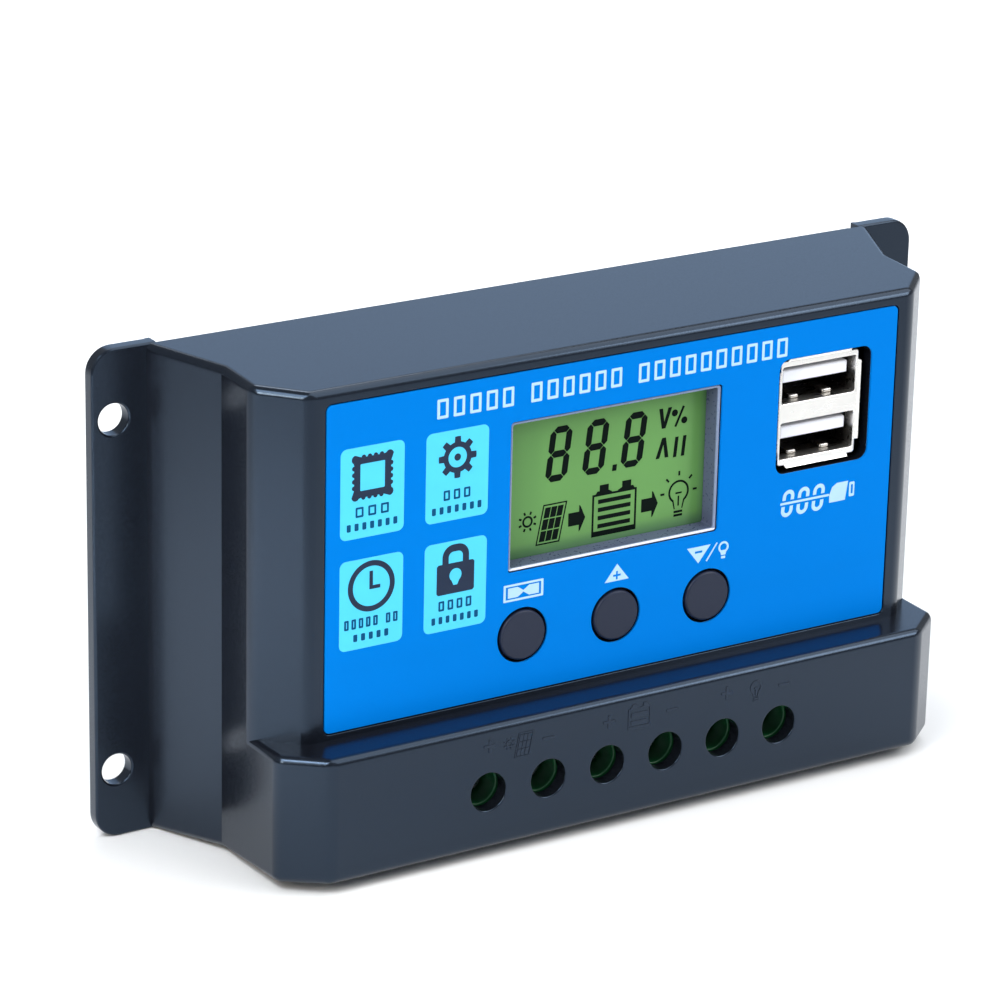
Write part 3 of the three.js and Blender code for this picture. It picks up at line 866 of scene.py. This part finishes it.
def padlock_picture(x, z):
    """A closed padlock with a keyhole."""
    body = [(-2.9, 0.6), (-2.9, -3.2), (-2.65, -3.45), (2.65, -3.45), (2.9, -3.2), (2.9, 0.6)]
    body += [(2.65, 0.85), (2.05, 0.85)]
    shackle = arc_points(0.35, 1.75, 1.7, 0, 90, 10) + arc_points(-0.35, 1.75, 1.7, 90, 180, 10)
    outline = body + shackle + [(-2.05, 0.85), (-2.65, 0.85)]
    gap = [(-1.1, 0.85), (1.1, 0.85)]
    gap += arc_points(0.35, 1.7, 0.75, 0, 90, 8) + arc_points(-0.35, 1.7, 0.75, 90, 180, 8)
    keyhole = arc_points(0, -0.9, 0.95, -50, 230, 20) + [(-0.3, -2.3), (0.3, -2.3)]
    return [moved(points, x, z) for points in (outline, gap, keyhole)]


CARD_COLUMNS = ((-43.47, -33.86), (-30.57, -20.96))
CARD_ROWS = ((12.45, 25.0), (-3.05, 9.5))
CARDS = (  # column, row, picture and its height, then width and words of the two captions
    (0, 0, chip_picture, 8.35, 5.0, (3,), 7.6, (7,)),
    (1, 0, gear_picture, 8.7, 4.1, (3,), 7.6, (7,)),
    (0, 1, clock_picture, 8.55, 8.1, (5, 2), 5.3, (5,)),
    (1, 1, padlock_picture, 8.6, 5.1, (4,), 7.2, (7,)),
)


def card_prints():
    """Four cards, each with a picture and two rows of marks for its caption."""
    cards, pictures, captions = [], [], []
    for column, row, picture, height, upper, words, lower, more_words in CARDS:
        x0, x1 = CARD_COLUMNS[column]
        z0, z1 = CARD_ROWS[row]
        x = (x0 + x1) / 2
        cards.append(rounded_box(x0, x1, z0, z1, 0.9)())
        pictures += picture(x, z0 + height)
        captions += word_marks(x - upper / 2, x + upper / 2, z0 + 3.6, 1.4, words, 0.62, 0.27)
        captions += word_marks(x - lower / 2, x + lower / 2, z0 + 1.6, 1.0, more_words, 0.5)
    print_on_label(cards, "label_cards", card_ink)
    print_on_label(pictures, "label_pictures", dark_ink, 2)
    print_on_label(captions, "label_captions", caption_ink, 2)


def white_prints():
    """The title's marks, a picture above each button and the picture below the sockets."""
    white = word_marks(-29.0, 26.9, 28.2, 2.7, (5, 6, 10), 0.68, 0.4)
    white += mode_picture(-15.0, 0.36)
    white += arrow_picture(0.0, 0.05, 1)
    white += arrow_picture(13.4, 0.45, -1)
    white.append(thick_line(16.45, 1.55, 14.75, -0.85, 0.22))
    white += small_bulb(17.55, 0.35)
    white += cable_picture(26.9, 5.25)
    white += plug_picture(36.9, 5.4)
    print_on_label(white, "label_white", white_ink)


def mode_picture(x, z):
    """An outlined box with two wedges that meet in its middle."""
    upper = [(-2.45, 0.72), (-0.9, 0.72), (0.0, 0.12), (0.9, 0.72), (2.45, 0.72)]
    wedges = upper + [(px, -pz) for px, pz in upper[::-1]]
    frame_outer = rounded_box(x - 3.15, x + 3.15, z - 1.22, z + 1.22, 0.1)
    frame_inner = rounded_box(x - 2.8, x + 2.8, z - 0.92, z + 0.92, 0.05)
    return [frame_outer(), frame_inner(), moved(wedges, x, z)]


def plus_outline(x, z, half, stroke):
    s = stroke / 2
    corners = [(half, -s), (half, s), (s, s), (s, half), (-s, half), (-s, s)]
    rest = [(-px, -pz) for px, pz in corners]
    return moved(corners + rest, x, z)


def arrow_picture(x, z, up):
    """A triangle with a plus or a minus left out of it."""
    half = 1.95
    triangle = [(x - half, z - 1.05 * up), (x + half, z - 1.05 * up), (x, z + 1.4 * up)]
    if up > 0:
        return [triangle, plus_outline(x, z - 0.25, 0.62, 0.3)]
    return [triangle, box(-0.62, 0.62, 0.1, 0.42, x, z)]


def small_bulb(x, z):
    """A small lamp: a ring on a short base."""
    glass = arc_points(x, z + 0.35, 0.85, -55, 235, 24)
    glass += [(x - 0.35, z - 0.8), (x + 0.35, z - 0.8)]
    gap = arc_points(x, z + 0.35, 0.55, -50, 230, 20)
    base = rounded_box(x - 0.34, x + 0.34, z - 1.3, z - 0.95, 0.1)()
    return [glass, gap, base]


def cable_picture(x, z):
    """A thin cable that runs between a row of arches and a row of cups."""
    outlines = [rounded_box(x, x + 8.3, z - 0.16, z + 0.16, 0.1)()]
    for i in range(3):
        middle = x + 1.25 + i * 2.6
        for low, high, opens in ((0.45, 1.95, 1), (-2.0, -0.45, -1)):
            half = arch(middle, low, high, 1.95, 0.55, opens)
            outlines.append(moved(half, 0.0, z, 0.1))
    return outlines


def plug_picture(x, z):
    """A plug: a rounded grip and a short tip."""
    grip = [(x - 1.6, z - 1.35), (x + 1.1, z - 1.35), (x + 1.5, z + 1.4), (x - 0.4, z + 1.4)]
    grip += [(x - 1.2, z + 0.9), (x - 1.65, z - 0.2)]
    tip = rounded_box(x + 1.75, x + 2.65, z - 1.0, z + 1.15, 0.2)
    slots = rounded_box(x + 2.05, x + 2.4, z - 0.6, z + 0.75, 0.05)
    return [grip, tip(), slots()]


def cover_marks():
    """Moulded marks above the driver holes: a plus, a picture and a minus for each circuit."""
    outlines = []
    for (plus_x, plus_z), minus_x in (
        ((-23.7, -18.1), -14.4),
        ((-4.7, -18.5), 5.6),
        ((14.7, -18.2), 24.4),
    ):
        outlines.append(plus_outline(plus_x, plus_z, 0.95, 0.36))
        outlines.append(rounded_box(minus_x - 0.95, minus_x + 0.95, -18.98, -18.62, 0.1)())
    outlines += panel_outlines(-18.7, -18.9, 0.6)
    outlines += battery_outlines(0.2, -18.9, 0.5, 2)
    outlines += bulb_outlines(19.6, -18.3, 1.0, 0.28)
    marks = flat_solid(outlines, COVER_Y - 0.07, COVER_Y + 0.1)
    finish_piece(marks, "cover_marks", mark_plastic)


# -------------------- display


def seven_segments(x, z):
    """One digit with all its segments, leaning to the right. x is the left edge at its foot."""
    width, height, stroke, slant, gap = 3.5, 7.75, 0.95, 0.117, 0.06
    half = stroke / 2
    left, right, low, middle, high = half, width - half, half, height / 2, height - half

    def segment(start, end, level):
        """A level segment with pointed ends."""
        a, b = start + gap, end - gap
        lower = [(a, level), (a + half, level - half), (b - half, level - half)]
        return lower + [(b, level), (b - half, level + half), (a + half, level + half)]

    outlines = [segment(left, right, level) for level in (low, middle, high)]
    for level in (left, right):
        for start, end in ((low, middle), (middle, high)):
            outlines.append([(px, pz) for pz, px in segment(start, end, level)])
    return [moved(points, x, z, slant) for points in outlines]


def panel_outlines(x, z, size):
    """A sun beside a leaning panel of nine cells, centred on (x, z)."""
    sun_x, sun_z = x - 3.3 * size, z + 0.9 * size
    outlines = [circle(sun_x, sun_z, radius * size, 24)() for radius in (0.85, 0.55)]
    for i in range(8):
        outlines.append(ray(sun_x, sun_z, 45 * i + 22.5, 1.05 * size, 1.5 * size, 0.3 * size))

    def leaning(u0, u1, w0, w1):
        corners = [(u0, w0), (u1, w0), (u1, w1), (u0, w1)]
        return moved(corners, x + 0.6 * size, z, 0.2, size)

    outlines.append(leaning(-1.95, 1.95, -2.9, 2.9))
    outlines.append(leaning(-1.75, 1.75, -2.7, 2.7))
    for row in range(3):
        w = -2.45 + 1.68 * row
        for column in range(3):
            u = -1.5 + 1.04 * column
            outlines.append(leaning(u, u + 0.9, w, w + 1.5))
    return outlines


def arrow_outline(x0, x1, z):
    """A thick arrow from x0 to x1."""
    neck = x1 - 1.0
    lower = [(x0, -0.95), (neck, -0.95), (neck, -1.9), (neck + 0.2, -1.75)]
    upper = [(px, -pz) for px, pz in lower[::-1]]
    return moved(lower + [(x1, 0.0)] + upper, z=z)


def battery_outlines(x, z, size, bars):
    """A battery with two posts, its charge shown as bars, centred on (x, z)."""
    outer = [(-3.6, -3.0), (3.6, -3.0), (3.6, 3.1), (3.25, 3.1), (3.0, 3.5), (2.65, 3.5)]
    outer += [(2.65, 4.35), (1.2, 4.35), (1.2, 3.5), (0.55, 3.2), (0.55, 3.1), (-0.45, 3.1)]
    outer += [(-0.45, 3.2), (-1.0, 3.5), (-1.0, 4.35), (-2.45, 4.35), (-2.45, 3.5)]
    outer += [(-2.8, 3.5), (-3.1, 3.1), (-3.6, 3.1)]
    outlines = [moved(outer, x, z, size=size), box(-3.3, 3.3, -2.25, 2.8, x, z, size)]
    pitch = 4.7 / bars
    for i in range(bars):
        low = -1.85 + i * pitch
        outlines.append(box(-2.65, 2.65, low, low + 0.52 * pitch, x, z, size))
    return outlines


def bulb_outlines(x, z, radius, stroke):
    """A lamp: a round glass that narrows to its base."""
    neck = radius * 0.42

    def glass(r, low):
        foot = z - radius * 1.45
        return arc_points(x, z, r, -55, 235, 24) + [(x - low, foot), (x + low, foot)]

    base = [
        rounded_box(x - neck, x + neck, z - radius * w, z - radius * (w - 0.2), 0.03)()
        for w in (1.8, 2.1)
    ]
    stem = thick_line(x, z - radius * 1.2, x, z - radius * 0.35, stroke * 0.8)
    level = z - radius * 0.1
    wire = thick_line(x - radius * 0.3, level, x + radius * 0.3, level, stroke * 0.8)
    return [glass(radius, neck), glass(radius - stroke, neck - stroke * 0.6), *base, stem, wire]


def unit_marks():
    """Plain marks right of the digits: two chevrons, two dots with a stroke, and two bars."""
    down = [(-1.05, 1.45), (-0.3, -1.45), (0.3, -1.45), (1.05, 1.45)]
    down += [(0.45, 1.45), (0.0, -0.5), (-0.45, 1.45)]
    up = [(x, -z) for x, z in down]
    outlines = [moved(down, 9.2, 19.8, 0.08), moved(up, 9.1, 15.55, 0.08)]
    outlines.append(thick_line(11.0, 18.3, 12.3, 21.1, 0.36))
    outlines += [circle(10.85, 20.3, 0.5, 16)(), circle(12.45, 19.05, 0.5, 16)()]
    for x in (11.2, 12.5):
        outlines.append(moved(box(-0.27, 0.27, -1.45, 1.45), x, 15.35, 0.1))
    return outlines


def display_segments():
    """What the display shows: three digits, marks, and a panel that charges a battery and lamp."""
    outlines = []
    for x in (-10.0, -4.1, 2.1):
        outlines += seven_segments(x, 13.7)
    outlines.append(moved(box(0.0, 0.7, 0.0, 0.9), 0.85, 13.6, 0.1))
    outlines += unit_marks()
    outlines += panel_outlines(-9.3, 7.8, 0.98)
    outlines.append(arrow_outline(-6.0, -3.28, 7.75))
    outlines += battery_outlines(1.4, 7.55, 1.0, 4)
    outlines.append(arrow_outline(5.83, 8.55, 7.7))
    outlines += bulb_outlines(11.95, 8.75, 1.7, 0.3)
    outlines += [ray(11.95, 8.75, degrees, 2.35, 3.0, 0.3) for degrees in range(0, 181, 45)]
    solid = flat_solid(outlines, CELL[0] - INK, CELL[0] + INK / 2)
    finish_piece(solid, "display_segments", segment_ink)


def around_window(width, height, corner):
    """A rounded box around the middle of the display's window."""
    x0, x1, z0, z1, _ = LCD_WINDOW
    x, z = (x0 + x1) / 2, (z0 + z1) / 2
    return rounded_box(x - width / 2, x + width / 2, z - height / 2, z + height / 2, corner)


def display_cell():
    """The flat display cell behind its window."""
    cell = bar(around_window(38.0, 25.4, 0.15), *CELL, 0.12, 0.12, 3)
    finish_piece(cell, "display_cell", display_green, stands_for=["lcd_glass"])


def display_bezel():
    """The box that holds the display cell, with its thin rim in the housing's window."""
    x0, x1, z0, z1, _ = LCD_WINDOW
    width, height = x1 - x0 - 0.3, z1 - z0 - 0.3
    box_front, box_rear = FACE_Y + WALL + 0.15, BOARD_FRONT - 0.3
    holder = bar(around_window(41.0, 28.4, 0.4), box_front, box_rear, 0.15, 0.15, 3)
    rim = bar(around_window(width, height, 0.4), BEZEL_FRONT, -24.25, 0.12)
    combine(holder, [rim], "UNION")
    view = cutter(around_window(width - 0.8, height - 0.8, 0.3), BEZEL_FRONT, -23.8, 0.3)
    cell_room = bar(around_window(38.6, 26.0, 0.05), -23.9, -18.2)
    rear_room = bar(around_window(36.6, 24.0, 0.05), -18.3, BOARD_FRONT + 1)
    combine(holder, [view, cell_room, rear_room])
    finish_piece(holder, "display_bezel", bezel_plastic, stands_for=["lcd_frame"])


# -------------------- buttons and sockets


def button_cap(side, x):
    """A round cap, held behind the face by its flange."""
    cap = bar(circle(x, BUTTON_Z, CAP_RADIUS), -27.2, -24.1, 0.35)
    flange = bar(circle(x, BUTTON_Z, FLANGE_RADIUS), -24.6, -23.6, 0.1, 0.1, 3)
    combine(cap, [flange], "UNION")
    body, node = f"button_{side}", f"button_cap_{side}"
    finish_piece(cap, f"cap_{side}", button_plastic, body, [node])


def at_socket(x0, x1, z0, z1, corner):
    return rounded_box(SOCKET_X + x0, SOCKET_X + x1, SOCKET_Z + z0, SOCKET_Z + z1, corner)


def spring_lip(along, across, half_length, angle):
    """A thin flap along a side of the socket's mouth. It opens outwards to the front."""
    rise, thickness, taper = 0.62, 0.28, 0.25
    points = [
        (0.0, 0.35, half_length),
        (rise, -0.3, half_length - taper),
        (rise, -0.3 + thickness, half_length - taper),
        (0.0, 0.35 + thickness * 1.4, half_length),
    ]
    bm = bmesh.new()
    loops = [
        [bm.verts.new((end * reach, SOCKET_FRONT + y, u)) for u, y, reach in points]
        for end in (-1, 1)
    ]
    bm.faces.new(loops[0])
    bm.faces.new(loops[1][::-1])
    for i in range(4):
        j = (i + 1) % 4
        bm.faces.new((loops[0][j], loops[0][i], loops[1][i], loops[1][j]))
    turn = Matrix.Rotation(math.radians(angle), 4, "Y")
    place = Matrix.Translation((SOCKET_X + along, 0, SOCKET_Z + across))
    bmesh.ops.transform(bm, matrix=place @ turn, verts=bm.verts[:])
    return round_edges(new_object("lip", bm), 0.07, 2)


def contact_springs():
    """Two low springs on the floor of each port."""
    springs = []
    y0, y1 = SOCKET_FRONT + 1.6, SOCKET_FRONT + 5.2
    for port in PORTS:
        floor_z = SOCKET_Z + port - PORT_HALF_HEIGHT
        for offset in (-3.0, 2.6):
            x = SOCKET_X + offset
            spring = cuboid(x - 0.8, x + 0.8, y0, y1, floor_z - 0.1, floor_z + 0.55)
            springs.append(round_edges(spring, 0.3, 4))
    return merged(springs)


def usb_sockets():
    """The pressed metal shell of two stacked sockets, with flared lips and contact springs."""
    width, height = SOCKET_HALF_WIDTH, SOCKET_HALF_HEIGHT
    outside = at_socket(-width, width, -height, height, 0.5)
    shell = bar(outside, SOCKET_FRONT, SOCKET_REAR, 0.2, 0.1, 3)
    hollows = []
    for port in PORTS:
        low, high = port - PORT_HALF_HEIGHT, port + PORT_HALF_HEIGHT
        mouth = at_socket(-PORT_HALF_WIDTH, PORT_HALF_WIDTH, low, high, 0.3)
        hollows.append(cutter(mouth, SOCKET_FRONT, SOCKET_REAR + 1, 0.18))
    combine(shell, hollows)
    room = at_socket(-PORT_HALF_WIDTH, PORT_HALF_WIDTH, PORTS[1], PORTS[0], 0.1)
    combine(shell, [bar(room, -14.2, SOCKET_REAR + 1)])
    lips = [
        spring_lip(0.0, height - 0.3, 5.5, 0),
        spring_lip(0.0, -height + 0.3, 5.5, 180),
        spring_lip(width - 0.3, 0.2, 6.0, 90),
        spring_lip(-width + 0.3, 0.2, 6.0, -90),
    ]
    combine(shell, lips, "UNION")
    combine(shell, [contact_springs()], "UNION")
    finish_piece(shell, "usb_sockets", socket_metal, stands_for=["usb_shell"])


def usb_tongues():
    """The insulator: a rear block with two tongues, and four contact strips under each."""
    half_height = PORTS[0] + PORT_HALF_HEIGHT - 0.3
    block = bar(at_socket(-5.9, 5.9, -half_height, half_height, 0.1), -13.9, SOCKET_REAR)
    tongues, contacts = [], []
    for port in PORTS:
        top = port + PORT_HALF_HEIGHT - 0.9
        tongues.append(bar(at_socket(-5.55, 5.55, top - 1.8, top, 0.25), -24.9, -13.2, 0.35))
        for x in (-3.5, -1.0, 1.0, 3.5):
            strip = at_socket(x - 0.5, x + 0.5, top - 1.86, top - 1.7, 0.04)
            contacts.append(bar(strip, -23.6, -14.2, 0.03))
    combine(block, tongues, "UNION")
    finish_piece(block, "usb_tongues", tongue_plastic, stands_for=["usb_insulator"])
    finish_piece(merged(contacts), "usb_contacts", contact_metal)


# -------------------- terminals


def terminal_block(circuit, x):
    """A green block for two wires, with round driver bores and wire rooms open below."""
    half = TERMINAL_PITCH - 0.15
    block = cuboid(x - half, x + half, BLOCK_FRONT, BLOCK_REAR, BLOCK_BOTTOM, BLOCK_TOP)
    round_edges(block, 0.3, 4)
    front = CAGE_FRONT - CLAMP_TRAVEL - 0.2
    rear = CAGE_REAR + 0.2
    head_y = SCREW_HEAD[1]
    rooms, bores = [], []
    for way in (-0.5, 0.5):
        wx = x + way * TERMINAL_PITCH
        rooms.append(cuboid(wx - 3.5, wx + 3.5, front, rear, BLOCK_BOTTOM - 1, -19.2))
        rooms.append(cuboid(wx - 0.9, wx + 0.9, rear - 0.1, BLOCK_REAR + 1, -20.7, -19.3))
        bores.append(cutter(circle(wx, TERMINAL_Z, 2.6), BLOCK_FRONT, head_y + 0.1, 0.25))
        bores.append(bar(circle(wx, TERMINAL_Z, 2.1, 48), head_y - 0.1, front + 0.1))
    combine(block, rooms + bores)
    name, slot = f"terminal_{circuit}", "terminal_plastic"
    finish_piece(block, name, terminal_plastic, stands_for=[f"terminal_block_{circuit}"])


def cross_slot(x, z, size, y0, y1):
    """A tool for the cross recess of a screw head."""
    return flat_solid([plus_outline(x, z, size / 2, size / 5)], y0, y1)


def clamp_screw(number, x):
    """A captive screw with a cross recess. Its thread moves the clamp."""
    front, rear = SCREW_HEAD
    screw = bar(circle(x, TERMINAL_Z, 2.35), front, rear, 0.35, 0.1)
    combine(screw, [threaded_bar(x, TERMINAL_Z, 1.9, 0.7, rear - 0.1, -18.9)], "UNION")
    combine(screw, [cross_slot(x, TERMINAL_Z, 3.4, front - 1, front + 1.1)])
    name, body, node = f"driver_screw_{number}", f"screw_{number}", f"terminal_screw_{number}"
    finish_piece(screw, name, screw_steel, body, [node], 35)


def threaded_bar(x, z, radius, pitch, y0, y1):
    """A bar with thread crests of the given pitch, drawn as rings."""
    core, crest = circle(x, z, radius - 0.28, 32)(), circle(x, z, radius, 32)()
    rings = []
    y = y0
    while y < y1 - pitch:
        rings += [(core, y), (core, y + 0.15 * pitch)]
        rings += [(crest, y + 0.45 * pitch), (crest, y + 0.55 * pitch)]
        y += pitch
    return loft(rings + [(core, y1)])


def wire_clamp(number, x):
    """A square cage with a window for the wire and a hole for its screw."""
    cage = cuboid(x - 3.2, x + 3.2, CAGE_FRONT, CAGE_REAR, -28.0, -21.5)
    window = cuboid(x - 2.4, x + 2.4, CAGE_WINDOW[0], CAGE_WINDOW[1], -29.0, -20.5)
    round_edges(cage, 0.35, 4)
    combine(cage, [window])
    combine(cage, [bar(circle(x, TERMINAL_Z, 2.05, 48), CAGE_FRONT - 1, CAGE_WINDOW[0] + 0.1)])
    name, body, node = f"wire_clamp_{number}", f"clamp_{number}", f"clamp_cage_{number}"
    finish_piece(cage, name, clamp_metal, body, [node])


# -------------------- back


def rear_plate():
    """A metal plate with countersunk holes."""
    width, height = PLATE_HALF_WIDTH, PLATE_HALF_HEIGHT
    plate = cuboid(-width, width, -PLATE_THICKNESS, 0.0, -height, height)
    round_edges(plate, 0.25, 4)
    tools = []
    for x, z in PLATE_SCREWS:
        tools.append(bar(circle(x, z, 1.5), -3.0, 1.0))
        rings = [(circle(x, z, r)(), y) for r, y in ((1.5, -1.4), (3.0, -0.05), (3.1, 0.5))]
        tools.append(loft(rings))
    combine(plate, tools)
    finish_piece(plate, "rear_plate", plate_metal, stands_for=["back_plate"])


def rear_screw(number, x, z):
    """A countersunk screw, turned from a profile of radius and depth."""
    profile = [(0.85, -8.0), (0.85, -1.35), (1.2, -1.3), (2.55, -0.28)]
    profile += [(2.6, -0.2), (2.5, -0.15), (1.6, -0.1)]
    screw = loft([(circle(x, z, r, 48)(), y) for r, y in profile])
    combine(screw, [cross_slot(x, z, 2.6, -0.8, 0.5)])
    name, node = f"rear_screw_{number}", f"back_screw_{number}"
    finish_piece(screw, name, screw_steel, stands_for=[node])


# -------------------- pieces

housing_shell()
label_film()
card_prints()
white_prints()
cover_marks()
display_cell()
display_segments()
display_bezel()
for side, x in zip(("left", "middle", "right"), BUTTON_X):
    button_cap(side, x)
usb_sockets()
usb_tongues()
for place, circuit in enumerate(("panel", "battery", "load"), -1):
    terminal_block(circuit, 2 * TERMINAL_PITCH * place)
for number, x in enumerate(TERMINAL_X, 1):
    clamp_screw(number, x)
    wire_clamp(number, x)
rear_plate()
for number, (x, z) in enumerate(PLATE_SCREWS, 1):
    rear_screw(number, x, z)

CARRIED_OVER = {
    "lcd_backlight": guide_plastic,
    "lcd_ribbon": ribbon_film,
    "tact_switch": chip_epoxy,
    "switch_plunger": button_plastic,
    "contact_bar": clamp_metal,
    "main_board": circuit_board,
    "board_screw": screw_steel,
    "microcontroller": chip_epoxy,
    "usb_regulator": chip_epoxy,
    "usb_inductor": ferrite_grey,
    "capacitor": can_sleeve,
    "power_transistor": chip_epoxy,
    "thermal_pad": pad_rubber,
}
for node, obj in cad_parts.items():
    for start, material in CARRIED_OVER.items():
        if node.startswith(start):
            for material_slot in obj.material_slots:
                material_slot.material = material

# -------------------- floor, light and camera


def floor():
    bm = bmesh.new()
    bmesh.ops.create_grid(bm, x_segments=1, y_segments=1, size=4.0)
    ground = new_object("floor", bm)
    ground.location.z = -(HALF_HEIGHT + 0.02) * MM
    shader = Shader("floor_white")
    cloud = shader.spread(shader.noise(3.0), 0.0, 1.0)
    shader.colour(shader.blend(cloud, (0.9, 0.9, 0.91), (0.92, 0.92, 0.92)))
    shader.main.inputs["Roughness"].default_value = 0.9
    shader.specular(0.1)
    ground.data.materials.append(shader.material)


def soft_light(
    name, place, target, size, radiance, colour=(1.0, 1.0, 1.0), spread=180.0, narrow=1.0
):
    """An upright area light at a place in millimetres that faces a target.

    It is size high, and its width is the share of that given by narrow.
    """
    lamp = bpy.data.lights.new(name, "AREA")
    lamp.shape = "RECTANGLE"
    lamp.size = size * narrow * MM
    lamp.size_y = size * MM
    lamp.spread = math.radians(spread)
    lamp.energy = radiance * math.pi * lamp.size * lamp.size_y
    lamp.color = colour
    obj = bpy.data.objects.new(name, lamp)
    obj.location = Vector(place) * MM
    direction = Vector(target) - Vector(place)
    obj.rotation_euler = direction.to_track_quat("-Z", "Y").to_euler()
    bpy.context.scene.collection.objects.link(obj)


def world_light(strength):
    world = bpy.data.worlds.new("studio")
    world.use_nodes = True
    background = world.node_tree.nodes["Background"]
    background.inputs["Color"].default_value = (0.88, 0.95, 1.0, 1.0)
    background.inputs["Strength"].default_value = strength
    bpy.context.scene.world = world


def photo_camera():
    place = Vector((-308.3, -481.9, 210.1))
    aim = Vector((-19.07, -27.0, 14.0))
    roll = math.radians(-1.29)
    forward = (aim - place).normalized()
    level = forward.cross(Vector((0, 0, 1))).normalized()
    upright = level.cross(forward)
    up = upright * math.cos(roll) + level * math.sin(roll)
    right = forward.cross(up)
    turn = Matrix((right, up, -forward)).transposed().to_4x4()
    data = bpy.data.cameras.new("camera")
    data.lens = 156.16
    data.sensor_width = 36.0
    data.clip_start = 0.01
    camera = bpy.data.objects.new("camera", data)
    camera.matrix_world = Matrix.Translation(place * MM) @ turn
    bpy.context.scene.collection.objects.link(camera)
    bpy.context.scene.camera = camera


floor()
world_light(0.36)
soft_light("top", (300.0, -220.0, 560.0), (0.0, 0.0, 0.0), 700.0, 2.15)
soft_light("key", (-232.0, -140.0, 238.0), (-40.0, -20.0, -10.0), 160.0, 6.7, (0.92, 0.96, 1.0))
soft_light("fill", (190.0, -200.0, 130.0), (45.0, -27.0, 5.0), 120.0, 0.9, spread=70.0)
soft_light("rim", (450.0, 720.0, 297.0), (0.0, 0.0, 0.0), 700.0, 0.9, (0.385, 0.63, 1.0))
soft_light("floor_left", (-250.0, -130.0, 200.0), (-175.0, -55.0, -35.0), 120.0, 2.5, spread=45.0)
soft_light(
    "edge", (-294.0, -156.0, 132.0), (-51.0, -24.0, 33.0), 105.0, 3.0, (1.0, 0.9, 0.78), 60.0, 0.35
)
soft_light("floor_back", (160.0, 340.0, 520.0), (160.0, 340.0, -35.0), 300.0, 4.0, spread=100.0)
photo_camera()
bpy.context.scene.view_settings.view_transform = "Standard"
